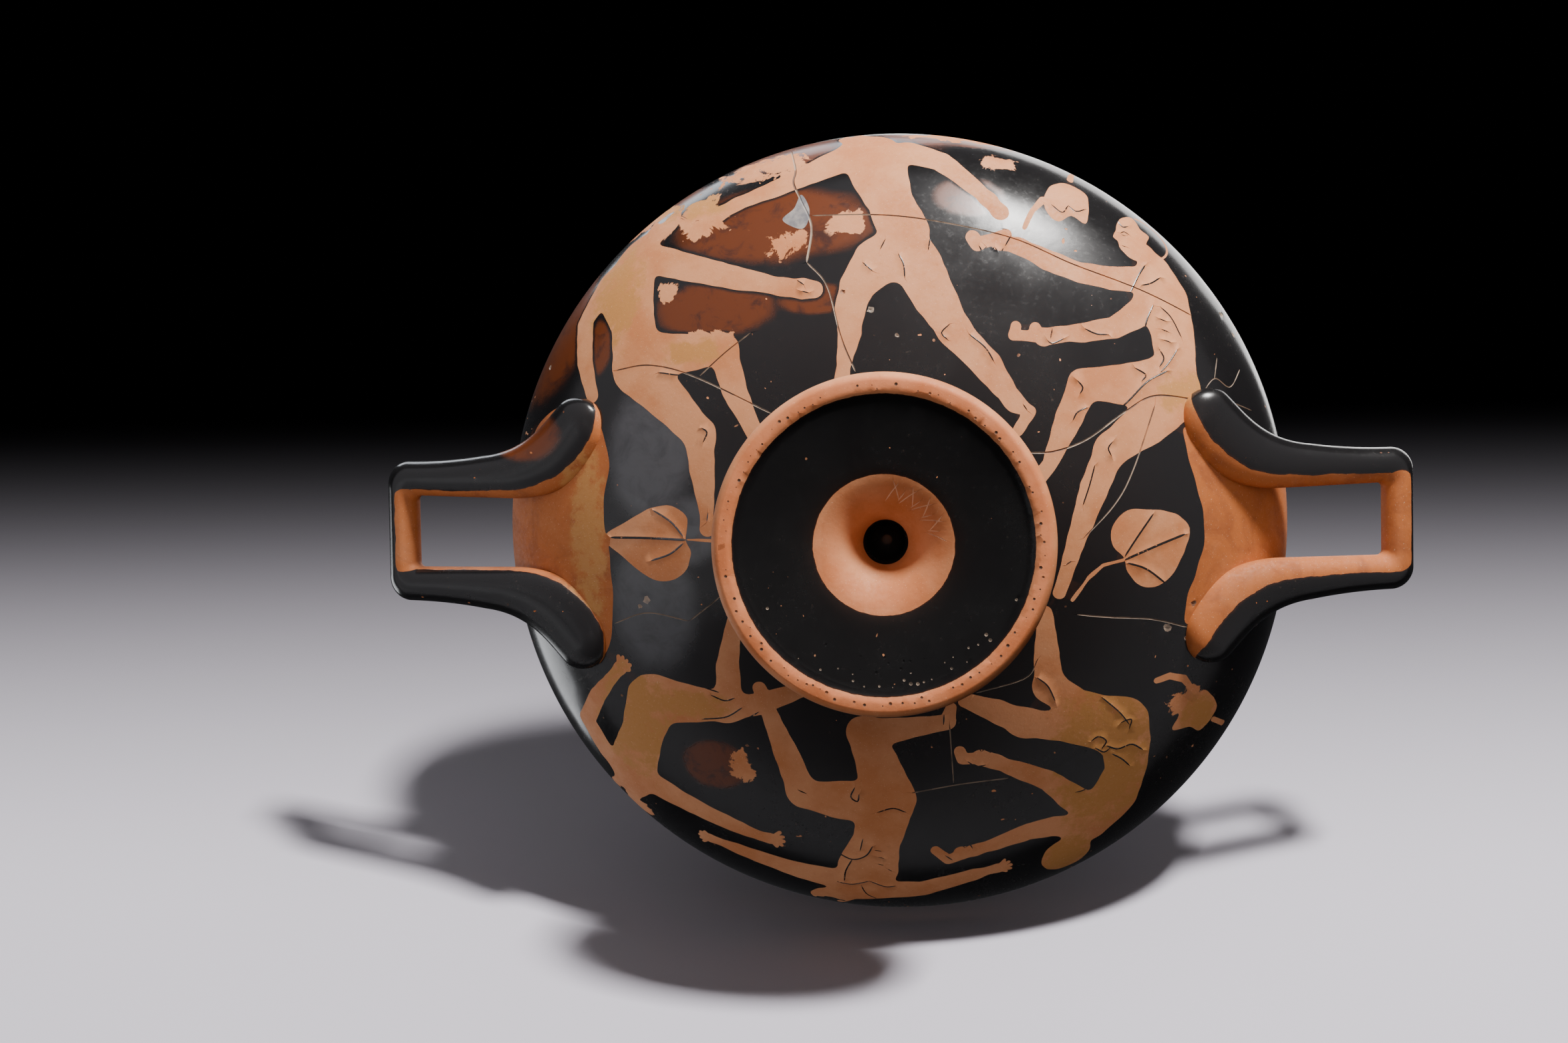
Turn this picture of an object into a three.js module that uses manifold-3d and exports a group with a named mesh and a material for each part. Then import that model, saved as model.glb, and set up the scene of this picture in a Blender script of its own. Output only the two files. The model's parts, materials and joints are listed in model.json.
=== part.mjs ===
// A stemmed drinking cup (kylix) of fired clay: a broad shallow bowl on a short hollow stem and a
// disc foot, with two horizontal loop handles luted to the wall. Thrown and joined wet, then fired,
// so the whole cup is one solid. Millimetres, +Z up, origin at the middle of the foot's resting
// face, handles along X.

import * as THREE from 'three';
import { ParametricGeometry } from 'three/addons/geometries/ParametricGeometry.js';
import { mergeVertices } from 'three/addons/utils/BufferGeometryUtils.js';
import Module from 'manifold-3d';

// Driving dimensions
const RIM_RADIUS = 120;          // outside of the lip
const HEIGHT = 95;               // resting face to lip
const LIP_WALL = 3.4;            // wall thickness at the lip
const FLOOR_Z = 40.5;            // inside of the bowl at the axis
const WAIST_RADIUS = 10.5;       // narrowest part of the stem
const WAIST_Z = 22;
const FOOT_RADIUS = 49.5;
const FOOT_EDGE_HEIGHT = 6.4;    // thickness of the disc at its edge
const RING_OUTER = 47.8;         // flat ring that the cup stands on
const RING_INNER = 43.8;
const RECESS = 1.1;              // underside inside the ring sits this much higher
const FUNNEL_RADIUS = 19.6;      // mouth of the hollow in the stem
const FUNNEL_Z = 3.2;
const BORE_RADIUS = 5.4;         // the hollow inside the stem
const BORE_TOP = 27;

const HANDLE_REACH = 157.3;      // axis of the cup to the outside of the bar
const HANDLE_HALF = 21.7;        // middle of the handle to the outside of an arm
const ARM_WIDTH = 10.7;
const BAR_WIDTH = 8.8;
const HANDLE_THICK = 10;         // across the handle, square to its own plane
const OUTER_CORNER = 6.5;
const INNER_CORNER = 1.9;
const SPLAY_OUTER = 126;         // where an arm's outside begins to splay towards the wall
const SPLAY_INNER = 116;         // and its inside, a little nearer the bowl
const SPLAY_FLARE = 1.9;         // how far the outside has spread by SPLAY_OUTER
const ROOT_Z = 62.5;             // height of the arms where they meet the wall
const BAR_Z = 88;

const AROUND = 72;               // facets round the cup
const HANDLE_STEPS = 48;         // facets along a handle
const HANDLE_SIDES = 12;         // facets round a handle

const point = (r, z) => new THREE.Vector2(r, z);

// Points after the start along a run of cubic curves, each given as [control, control, end].
function curveThrough(start, curves, steps) {
  const points = [];
  let from = start;
  for (const [a, b, end] of curves) {
    const curve = new THREE.CubicBezierCurve(from, a, b, end);
    points.push(...curve.getPoints(steps).slice(1));
    from = end;
  }
  return points;
}

// Half section of the hollow in the stem and the underside, from the axis out to the foot's edge.
function undersideProfile() {
  const top = point(0, BORE_TOP);
  const boreStart = point(BORE_RADIUS, BORE_TOP - 7);
  const mouth = point(FUNNEL_RADIUS, FUNNEL_Z);
  const hollow = curveThrough(top, [
    [point(3, BORE_TOP), point(BORE_RADIUS - 0.2, BORE_TOP - 2.5), boreStart],
    [point(BORE_RADIUS + 0.9, 11), point(12.5, FUNNEL_Z + 1.3), mouth],
  ], 4);
  return [top, ...hollow,
    point(FUNNEL_RADIUS + 1.4, FUNNEL_Z - 0.3),
    point(RING_INNER - 0.9, RECESS),
    point(RING_INNER, 0),
    point(RING_OUTER, 0)];
}

// Rounded edge of the foot, its sloping top, the stem, and the bowl's outside up to the lip.
function outsideProfile() {
  const edgeLow = point(RING_OUTER, 0);
  const edgeHigh = point(FOOT_RADIUS - 1.5, FOOT_EDGE_HEIGHT);
  const waist = point(WAIST_RADIUS, WAIST_Z);
  const shoulder = point(36, 38.5);
  const foot = curveThrough(edgeLow, [
    [point(FOOT_RADIUS + 0.6, 0.4), point(FOOT_RADIUS + 0.6, FOOT_EDGE_HEIGHT - 0.6), edgeHigh],
  ], 4);
  const stem = curveThrough(edgeHigh, [
    [point(34, FOOT_EDGE_HEIGHT + 2.4), point(WAIST_RADIUS, 10), waist],
    [point(WAIST_RADIUS, 30), point(20, 34.5), shoulder],
  ], 5);
  const bowl = curveThrough(shoulder, [
    [point(64, 45.5), point(RIM_RADIUS - 2, 64), point(RIM_RADIUS, HEIGHT - 1.2)],
  ], 10);
  return [...foot, ...stem, ...bowl];
}

// The lip's rounded top and the bowl's inside, back to the axis.
function insideProfile() {
  const lipTop = point(RIM_RADIUS - LIP_WALL / 2, HEIGHT);
  const lipInner = point(RIM_RADIUS - LIP_WALL, HEIGHT - 1.2);
  const inside = curveThrough(lipInner, [
    [point(RIM_RADIUS - 7.5, 66), point(60, FLOOR_Z), point(0, FLOOR_Z)],
  ], 11);
  return [lipTop, lipInner, ...inside];
}

// Turns a half section about Z into a closed geometry.
function turned(profile) {
  return new THREE.LatheGeometry(profile, AROUND, Math.PI / 2).rotateX(Math.PI / 2);
}

// Outer and inner outline of one handle in plan, as matching pieces from the root to the middle of
// the bar: splayed root, straight arm, corner, half of the bar.
function handleOutlines() {
  const inside = HANDLE_HALF - ARM_WIDTH;
  const barInner = HANDLE_REACH - BAR_WIDTH;
  const cornerX = HANDLE_REACH - OUTER_CORNER;
  const splayed = point(SPLAY_OUTER, HANDLE_HALF + SPLAY_FLARE);
  const outer = [
    new THREE.CubicBezierCurve(point(95, 44), point(104, 38.5), point(107.5, 25.5), splayed),
    new THREE.QuadraticBezierCurve(splayed, point(138, HANDLE_HALF), point(cornerX, HANDLE_HALF)),
    new THREE.EllipseCurve(cornerX, HANDLE_HALF - OUTER_CORNER, OUTER_CORNER, OUTER_CORNER,
      Math.PI / 2, 0, true),
    new THREE.LineCurve(point(HANDLE_REACH, HANDLE_HALF - OUTER_CORNER), point(HANDLE_REACH, 0)),
  ];
  const inner = [
    new THREE.CubicBezierCurve(point(84.5, 35), point(88, 21), point(98, inside - 0.5),
      point(SPLAY_INNER, inside - 0.5)),
    new THREE.LineCurve(point(SPLAY_INNER, inside - 0.5), point(barInner - INNER_CORNER, inside)),
    new THREE.EllipseCurve(barInner - INNER_CORNER, inside - INNER_CORNER, INNER_CORNER,
      INNER_CORNER, Math.PI / 2, 0, true),
    new THREE.LineCurve(point(barInner, inside - INNER_CORNER), point(barInner, 0)),
  ];
  return { outer, inner };
}

// Share of the half handle's length taken by the root, the arm, the corner and half of the bar.
const STATIONS = [0, 0.45, 0.68, 0.86, 1];
// Share of the half handle over which the root rounds off to nothing.
const ROOT_CAP = 0.1;

// Point at share t (0 root, 1 middle of the bar) along a list of outline pieces.
function alongOutline(pieces, t) {
  let index = 0;
  while (index < pieces.length - 1 && t > STATIONS[index + 1]) index += 1;
  const local = (t - STATIONS[index]) / (STATIONS[index + 1] - STATIONS[index]);
  return pieces[index].getPoint(Math.min(1, Math.max(0, local)));
}

// The handle's middle surface rises outwards, a little faster towards the bar.
function handleHeight(x) {
  const share = (x - 88) / (HANDLE_REACH - BAR_WIDTH / 2 - 88);
  return ROOT_Z + (BAR_Z - ROOT_Z) * share * (0.85 + 0.15 * share);
}

// One loop handle on the +X side: an oval section carried round the two outlines, its ends
// rounded off inside the wall.
function handleGeometry() {
  const { outer, inner } = handleOutlines();
  const surface = (u, v, target) => {
    const t = 1 - Math.abs(1 - 2 * u);
    const side = u < 0.5 ? 1 : -1;
    const out = alongOutline(outer, t);
    const inn = alongOutline(inner, t);
    const cap = Math.sqrt(1 - (1 - Math.min(1, t / ROOT_CAP)) ** 2);
    const across = Math.cos(2 * Math.PI * v) * cap / 2;
    const up = Math.sin(2 * Math.PI * v) * cap * HANDLE_THICK / 2;
    const x = (out.x + inn.x) / 2 + across * (out.x - inn.x);
    const y = (out.y + inn.y) / 2 + across * (out.y - inn.y);
    const slope = handleHeight(x + 0.5) - handleHeight(x - 0.5);
    const length = Math.hypot(slope, 1);
    target.set(x - up * slope / length, side * y, handleHeight(x) + up / length);
  };
  return new ParametricGeometry(surface, HANDLE_STEPS, HANDLE_SIDES);
}

// Closed manifold solid from a geometry: shared vertices merged, collapsed triangles dropped, and
// the winding turned over where the enclosed volume comes out negative.
function solidFrom(wasm, geometry) {
  const bare = geometry.clone();
  bare.deleteAttribute('normal');
  bare.deleteAttribute('uv');
  const merged = mergeVertices(bare, 1e-4);
  const p = merged.attributes.position;
  const corner = new THREE.Vector3();
  const edgeA = new THREE.Vector3();
  const edgeB = new THREE.Vector3();
  const triangles = [];
  let volume = 0;
  for (let i = 0; i < merged.index.count; i += 3) {
    const [a, b, c] = [0, 1, 2].map((k) => merged.index.getX(i + k));
    if (a === b || b === c || c === a) continue;
    triangles.push([a, b, c]);
    corner.fromBufferAttribute(p, a);
    edgeA.fromBufferAttribute(p, b);
    edgeB.fromBufferAttribute(p, c);
    volume += corner.dot(edgeA.cross(edgeB));
  }
  const ordered = volume < 0 ? triangles.map(([a, b, c]) => [a, c, b]) : triangles;
  return new wasm.Manifold(new wasm.Mesh({
    numProp: 3,
    vertProperties: new Float32Array(p.array),
    triVerts: new Uint32Array(ordered.flat()),
  }));
}

// Back from a manifold solid to a three.js geometry.
function geometryFrom(solid) {
  const mesh = solid.getMesh();
  const geometry = new THREE.BufferGeometry();
  geometry.setAttribute('position', new THREE.BufferAttribute(mesh.vertProperties, 3));
  geometry.setIndex(new THREE.BufferAttribute(mesh.triVerts, 1));
  geometry.computeVertexNormals();
  return geometry;
}

// The space inside the bowl, used to trim the handles' roots flush with the inner wall.
function bowlSpace() {
  const above = [point(0, HEIGHT + 5), point(RIM_RADIUS - LIP_WALL, HEIGHT + 5)];
  return turned([...above, ...insideProfile().slice(1)]);
}

function buildCup(wasm) {
  const profile = [...undersideProfile(), ...outsideProfile(), ...insideProfile()];
  let cup = solidFrom(wasm, turned(profile));
  const space = solidFrom(wasm, bowlSpace());
  const right = handleGeometry();
  const left = right.clone().rotateZ(Math.PI);
  for (const handle of [right, left]) {
    cup = cup.add(solidFrom(wasm, handle).subtract(space));
  }
  return geometryFrom(cup);
}

const wasm = await Module();
wasm.setup();

const glazedClay = new THREE.MeshStandardMaterial({
  color: 0x17130f,
  roughness: 0.32,
  metalness: 0,
});

const cup = new THREE.Mesh(buildCup(wasm), glazedClay);
cup.name = 'kylix';

const kylixCup = new THREE.Group();
kylixCup.add(cup);

export default kylixCup;
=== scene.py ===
"""A stemmed drinking cup of fired clay with painted athletes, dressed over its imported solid.

Lengths are millimetres in the shape functions and metres in the meshes. The wall is painted on a
chart: the outside of the bowl unrolled flat, where a point's distance from the middle is its
distance from the stem measured along the clay.
"""
import json
import math

import bpy
import numpy as np
from mathutils import Matrix, Vector
from mathutils.geometry import delaunay_2d_cdt

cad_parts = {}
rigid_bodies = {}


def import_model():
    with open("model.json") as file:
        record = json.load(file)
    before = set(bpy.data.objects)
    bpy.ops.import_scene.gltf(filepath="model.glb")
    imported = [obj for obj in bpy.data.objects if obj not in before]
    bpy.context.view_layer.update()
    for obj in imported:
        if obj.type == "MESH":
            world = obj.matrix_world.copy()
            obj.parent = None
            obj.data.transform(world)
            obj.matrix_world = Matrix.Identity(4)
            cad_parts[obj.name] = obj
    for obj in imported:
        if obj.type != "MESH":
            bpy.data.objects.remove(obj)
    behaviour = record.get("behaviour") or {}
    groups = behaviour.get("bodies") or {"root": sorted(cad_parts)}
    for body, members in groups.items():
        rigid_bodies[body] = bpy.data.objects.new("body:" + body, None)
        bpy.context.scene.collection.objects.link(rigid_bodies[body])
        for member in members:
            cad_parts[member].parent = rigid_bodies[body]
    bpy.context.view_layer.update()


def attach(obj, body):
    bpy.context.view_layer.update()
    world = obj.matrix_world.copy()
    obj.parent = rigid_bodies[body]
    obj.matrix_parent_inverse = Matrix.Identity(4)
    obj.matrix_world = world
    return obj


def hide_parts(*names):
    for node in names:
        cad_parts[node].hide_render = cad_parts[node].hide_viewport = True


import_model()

bl_info = {
    "name": "Kylix cup",
    "version": (1, 0, 0),
    "blender": (4, 5, 0),
    "location": "3D View > Sidebar > Kylix",
    "description": "Builds a painted kylix cup and the stage it is shown on",
    "category": "Object",
}

MM = 0.001


# ---------------------------------------------------------------- profile of the cup

RIM_RADIUS = 120.0
HEIGHT = 95.0
LIP_WALL = 3.4
FLOOR_Z = 40.5
WAIST_RADIUS = 10.5
WAIST_Z = 22.0
SHOULDER = (36.0, 38.5)
FOOT_RADIUS = 49.5
FOOT_EDGE = 6.4
RING_OUTER = 47.8
RING_INNER = 43.8
RECESS = 1.1
FUNNEL_RADIUS = 19.6
FUNNEL_Z = 3.2
BORE_RADIUS = 5.4
BORE_TOP = 27.0


def cubic(t, a, b, c, d):
    """Points of a cubic curve at shares t: its four control points weighted by (1-t)^3,
    3(1-t)^2 t, 3(1-t) t^2 and t^3."""
    t = t[:, None]
    return ((1 - t) ** 3 * np.array(a) + 3 * (1 - t) ** 2 * t * np.array(b)
            + 3 * (1 - t) * t ** 2 * np.array(c) + t ** 3 * np.array(d))


def bezier(points, steps):
    return cubic(np.linspace(0.0, 1.0, steps + 1), *points)


def joined(*runs):
    """Runs of profile points end to end, without the repeated stations between them."""
    return np.vstack([runs[0]] + [run[1:] for run in runs[1:]])


def bore_profile():
    return bezier([(0, BORE_TOP), (3, BORE_TOP), (BORE_RADIUS - 0.2, BORE_TOP - 2.5),
                   (BORE_RADIUS, BORE_TOP - 7)], 12)


def underside_profile():
    """From the bore out over the funnel, the recess, the standing ring and its rounded edge."""
    funnel = bezier([(BORE_RADIUS, BORE_TOP - 7), (BORE_RADIUS + 0.9, 11),
                     (12.5, FUNNEL_Z + 1.3), (FUNNEL_RADIUS, FUNNEL_Z)], 60)
    crown = bezier([(FUNNEL_RADIUS, FUNNEL_Z), (FUNNEL_RADIUS + 0.8, FUNNEL_Z),
                    (FUNNEL_RADIUS + 1.2, FUNNEL_Z - 0.2), (FUNNEL_RADIUS + 2, FUNNEL_Z - 0.35)], 8)
    recess = np.array([crown[-1], (RING_INNER - 1.6, RECESS + 0.1)])
    step = bezier([recess[-1], (RING_INNER - 0.9, RECESS), (RING_INNER - 0.5, 0.0),
                   (RING_INNER + 0.5, 0.0)], 8)
    ring = np.array([step[-1], (RING_OUTER - 0.6, 0.0)])
    return joined(funnel, crown, recess, step, ring)


def foot_edge_profile():
    return bezier([(RING_OUTER - 0.6, 0), (FOOT_RADIUS + 0.5, 0.1),
                   (FOOT_RADIUS + 0.7, FOOT_EDGE - 0.6), (FOOT_RADIUS - 1.5, FOOT_EDGE)], 14)


def stem_profile():
    foot_top = bezier([(FOOT_RADIUS - 1.5, FOOT_EDGE), (34, FOOT_EDGE + 2.4),
                       (WAIST_RADIUS, 10), (WAIST_RADIUS, WAIST_Z)], 34)
    neck = bezier([(WAIST_RADIUS, WAIST_Z), (WAIST_RADIUS, 30), (20, 34.5), SHOULDER], 22)
    return joined(foot_top, neck)


def wall_profile():
    return bezier([SHOULDER, (64, 45.5), (RIM_RADIUS - 2, 64), (RIM_RADIUS, HEIGHT - 1.2)], 240)


def lip_profile():
    """The rounded lip: half an ellipse from the outer to the inner face of the wall."""
    turn = np.linspace(0, math.pi, 9)
    middle = RIM_RADIUS - LIP_WALL / 2
    return np.stack([middle + LIP_WALL / 2 * np.cos(turn), HEIGHT - 1.2 + 1.2 * np.sin(turn)], 1)


def inside_profile():
    return bezier([(RIM_RADIUS - LIP_WALL, HEIGHT - 1.2), (RIM_RADIUS - 7.5, 66), (60, FLOOR_Z),
                   (0, FLOOR_Z)], 74)


class Chart:
    """A band of the cup's skin laid flat: distance from the middle is arc length along the
    profile, started at start, and direction is the direction round the cup."""

    def __init__(self, profile, start):
        self.profile = profile
        steps = np.hypot(*np.diff(profile, axis=0).T)
        self.s = start + np.r_[0.0, np.cumsum(steps)]

    def radius_height(self, s):
        return (np.interp(s, self.s, self.profile[:, 0]),
                np.interp(s, self.s, self.profile[:, 1]))

    def raised(self, flat):
        """Solid points (mm) of flat points (mm)."""
        s = np.hypot(flat[:, 0], flat[:, 1])
        r, z = self.radius_height(s)
        return np.stack([flat[:, 0] / s * r, flat[:, 1] / s * r, z], 1)


WALL = Chart(wall_profile(), SHOULDER[0])
UNDER = Chart(underside_profile(), BORE_RADIUS)


# ---------------------------------------------------------------- skin of the cup

def ring_points(r, z, count):
    """Even points of a level circle round the cup's axis."""
    angle = np.arange(count) * (2 * math.pi / count)
    return np.stack([r * np.cos(angle), r * np.sin(angle), np.full(count, z)], 1)


def zipper(ring_a, ring_b):
    """Triangles between two closed rings of vertices that both start at the same angle. Each ring's
    next vertex is a step; the steps of both are taken in order of angle, and each adds one
    triangle."""
    na, nb = len(ring_a), len(ring_b)
    at = np.r_[(np.arange(na) + 1) / na, (np.arange(nb) + 1) / nb]
    is_a = np.r_[np.ones(na, bool), np.zeros(nb, bool)][np.argsort(at, kind="stable")]
    a = np.cumsum(is_a) - is_a
    b = np.cumsum(~is_a) - ~is_a
    following = np.where(is_a, ring_a[(a + 1) % na], ring_b[(b + 1) % nb])
    return np.stack([ring_a[a % na], following, ring_b[b % nb]], 1)


class Skin:
    """Vertices and triangles of a turned form, gathered ring by ring from the inside of the stem
    out and round to the floor of the bowl. Faces point out of the clay."""

    def __init__(self):
        self.points = []
        self.faces = []
        self.count = 0
        self.last = None

    def add_points(self, points):
        ids = np.arange(self.count, self.count + len(points))
        self.points.append(points)
        self.count += len(points)
        return ids

    def ring(self, r, z, count):
        ids = self.add_points(ring_points(r, z, count))
        if self.last is not None:
            if len(self.last) == 1:
                self.fan(self.last[0], ids, True)
            else:
                self.faces.append(zipper(self.last, ids))
        self.last = ids

    def fan(self, pole, ids, opening):
        nxt = np.roll(ids, -1)
        tip = np.full(len(ids), pole)
        self.faces.append(np.stack([tip, nxt, ids] if opening else [tip, ids, nxt], 1))

    def pole(self, z):
        ids = self.add_points(np.array([[0.0, 0.0, z]]))
        if self.last is not None:
            self.fan(ids[0], self.last, False)
        self.last = ids

    def rings(self, profile, count):
        for r, z in profile:
            self.ring(r, z, count)

    def sheet(self, points, faces, inner, outer):
        """A triangulated band whose inner and outer rings of vertices are given; the band is
        zipped to the last ring on its inner side."""
        ids = self.add_points(points)
        self.faces.append(ids[faces])
        self.faces.append(zipper(self.last, ids[inner]))
        self.last = ids[outer]

    def result(self):
        return np.vstack(self.points), np.vstack(self.faces)


def banded_chart(chart, inner_count, outer_count, spacing, marks):
    """Triangulates one chart between its first and last station, with rings of loose points about
    spacing apart, keeping every mark's edges as edges of the mesh."""
    s0, s1 = chart.s[0], chart.s[-1]

    def circle(s, count, phase=0.0):
        angle = (np.arange(count) + phase) * (2 * math.pi / count)
        return np.stack([s * np.cos(angle), s * np.sin(angle)], 1)

    inner, outer = circle(s0, inner_count), circle(s1, outer_count)
    loose = [circle(s, max(24, int(2 * math.pi * s / spacing)), 0.5 * (k % 2))
             for k, s in enumerate(np.arange(s0 + spacing, s1 - 0.6 * spacing, 0.87 * spacing))]
    loose = marks.thinned(np.vstack(loose), 0.55 * spacing)
    points = np.vstack([inner, outer, marks.points, loose])
    edges = marks.edges + inner_count + outer_count
    ring_edges = [np.stack([np.arange(n), (np.arange(n) + 1) % n], 1) + base
                  for n, base in ((inner_count, 0), (outer_count, inner_count))]
    edges = np.vstack(ring_edges + [edges])
    found = delaunay_2d_cdt([Vector(p) for p in points], [tuple(e) for e in edges.tolist()], [],
                            0, 1e-5, True)
    flat = np.array([tuple(v) for v in found[0]])
    faces = np.array([f for f in found[2]])
    middle = flat[faces].mean(1)
    faces = faces[np.hypot(*middle.T) > s0 * math.cos(math.pi / inner_count) - 1e-3]
    origin = np.full(len(points), -1)
    for out_index, sources in enumerate(found[3]):
        for source in sources:
            origin[source] = out_index
    a, b, c = (flat[faces[:, k]] for k in range(3))
    area = (b[:, 0] - a[:, 0]) * (c[:, 1] - a[:, 1]) - (b[:, 1] - a[:, 1]) * (c[:, 0] - a[:, 0])
    faces = np.where((area > 0)[:, None], faces[:, ::-1], faces)
    used = np.unique(faces)
    renumber = np.full(len(flat), -1)
    renumber[used] = np.arange(len(used))
    return (flat[used], renumber[faces], renumber[origin[:inner_count]],
            renumber[origin[inner_count:inner_count + outer_count]])


class Marks:
    """Points and edges that a chart's mesh has to keep."""

    def __init__(self):
        self.points = np.zeros((0, 2))
        self.edges = np.zeros((0, 2), int)

    def add(self, points, edges):
        self.edges = np.vstack([self.edges, np.asarray(edges, int) + len(self.points)])
        self.points = np.vstack([self.points, points])

    def thinned(self, loose, reach):
        """Loose points that keep reach from every marked point, tested on a grid of cells."""
        if not len(self.points):
            return loose
        taken = set()
        base = np.floor(self.points / reach).astype(int)
        for dx in (-1, 0, 1):
            for dy in (-1, 0, 1):
                taken.update(map(tuple, (base + (dx, dy)).tolist()))
        keep = [tuple(c) not in taken for c in np.floor(loose / reach).astype(int).tolist()]
        return loose[np.array(keep)]


# ---------------------------------------------------------------- painted shapes
#
# The painting is drawn on the wall chart in millimetres: x to the right and y towards +Y of the cup,
# both from its middle. Every shape is a signed distance, negative inside.

FAR = 6.0
GROUND_LINE = 46.0
GROUND_LINE_HALF = 0.7
LINE_HALF = 0.38
CHART_END = 141.2
CONTOUR_PITCH = 0.5


def near_box(p, low, high):
    """Which points lie within FAR of an upright box."""
    return np.all((p > np.asarray(low) - FAR) & (p < np.asarray(high) + FAR), axis=1)


def limb(p, stations):
    """Circles (x, y, radius) joined one to the next by their common tangents."""
    stations = np.array(stations, float)
    result = np.full(len(p), FAR)
    reach = stations[:, 2:]
    near = near_box(p, (stations[:, :2] - reach).min(0), (stations[:, :2] + reach).max(0))
    q = p[near]
    best = np.full(len(q), FAR)
    for (ax, ay, ra), (bx, by, rb) in zip(stations[:-1], stations[1:]):
        length = math.hypot(bx - ax, by - ay)
        ux, uy = (bx - ax) / length, (by - ay) / length
        along = (q[:, 0] - ax) * ux + (q[:, 1] - ay) * uy
        across = np.abs((q[:, 1] - ay) * ux - (q[:, 0] - ax) * uy)
        lean = np.clip((ra - rb) / length, -0.98, 0.98)
        rise = math.sqrt(1 - lean * lean)
        share = along * rise - across * lean
        value = along * lean + across * rise - ra
        value = np.where(share < 0, np.hypot(along, across) - ra, value)
        value = np.where(share > length * rise, np.hypot(along - length, across) - rb, value)
        best = np.minimum(best, value)
    result[near] = best
    return result


def merged(a, b, soft=2.5):
    """Both shapes, with a rounded inner corner of about soft where they meet."""
    h = np.maximum(soft - np.abs(a - b), 0) / soft
    return np.minimum(a, b) - h * h * soft / 4


def smooth_curve(points, step, closed=False):
    """A curve through the points, each stretch a cubic that follows its neighbours' direction."""
    points = np.array(points, float)
    if closed:
        padded = np.vstack([points[-1:], points, points[:2]])
    else:
        padded = np.vstack([2 * points[0] - points[1], points, 2 * points[-1] - points[-2]])
    line = []
    for p0, p1, p2, p3 in zip(padded[:-3], padded[1:-2], padded[2:-1], padded[3:]):
        count = max(1, round(math.hypot(*(p2 - p1)) / step))
        t = (np.arange(count) / count)[:, None]
        line.append(0.5 * (2 * p1 + (p2 - p0) * t + (2 * p0 - 5 * p1 + 4 * p2 - p3) * t ** 2
                           + (3 * p1 - p0 - 3 * p2 + p3) * t ** 3))
    if not closed:
        line.append(points[-1:])
    return np.vstack(line)


def patch(p, outline, step=1.2):
    """A closed smooth outline: distance to its nearest edge, inside by counting crossings."""
    line = smooth_curve(outline, step, True)
    result = np.full(len(p), FAR)
    near = near_box(p, line.min(0), line.max(0))
    q = p[near]
    best = np.full(len(q), np.inf)
    inside = np.zeros(len(q), bool)
    for start, end in zip(line, np.roll(line, -1, axis=0)):
        edge = end - start
        rel = q - start
        share = np.clip(rel @ edge / (edge @ edge), 0, 1)
        best = np.minimum(best, ((rel - share[:, None] * edge) ** 2).sum(1))
        if edge[1]:
            crossing = (start[1] > q[:, 1]) != (end[1] > q[:, 1])
            inside ^= crossing & (rel[:, 0] < rel[:, 1] / edge[1] * edge[0])
    result[near] = np.where(inside, -1, 1) * np.sqrt(best)
    return result


def hand(p, wrist, reach, spread=0.42, fingers=4):
    """An open hand: a palm and thin fingers that fan out by spread radians each."""
    x, y = wrist
    aim = math.atan2(reach[1] - y, reach[0] - x)
    size = math.hypot(reach[0] - x, reach[1] - y)
    palm = (x + 0.42 * size * math.cos(aim), y + 0.42 * size * math.sin(aim))
    shape = limb(p, [(x, y, 1.9), (*palm, 2.3)])
    for k in range(fingers + 1):
        turn = aim + spread * (k - fingers / 2)
        length = size * (0.52 if k < fingers else 0.42)
        tip = (palm[0] + length * math.cos(turn), palm[1] + length * math.sin(turn))
        base = (palm[0] + 1.4 * math.cos(turn), palm[1] + 1.4 * math.sin(turn))
        shape = np.minimum(shape, limb(p, [(*base, 0.8), (*tip, 0.62)]))
    return shape


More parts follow.
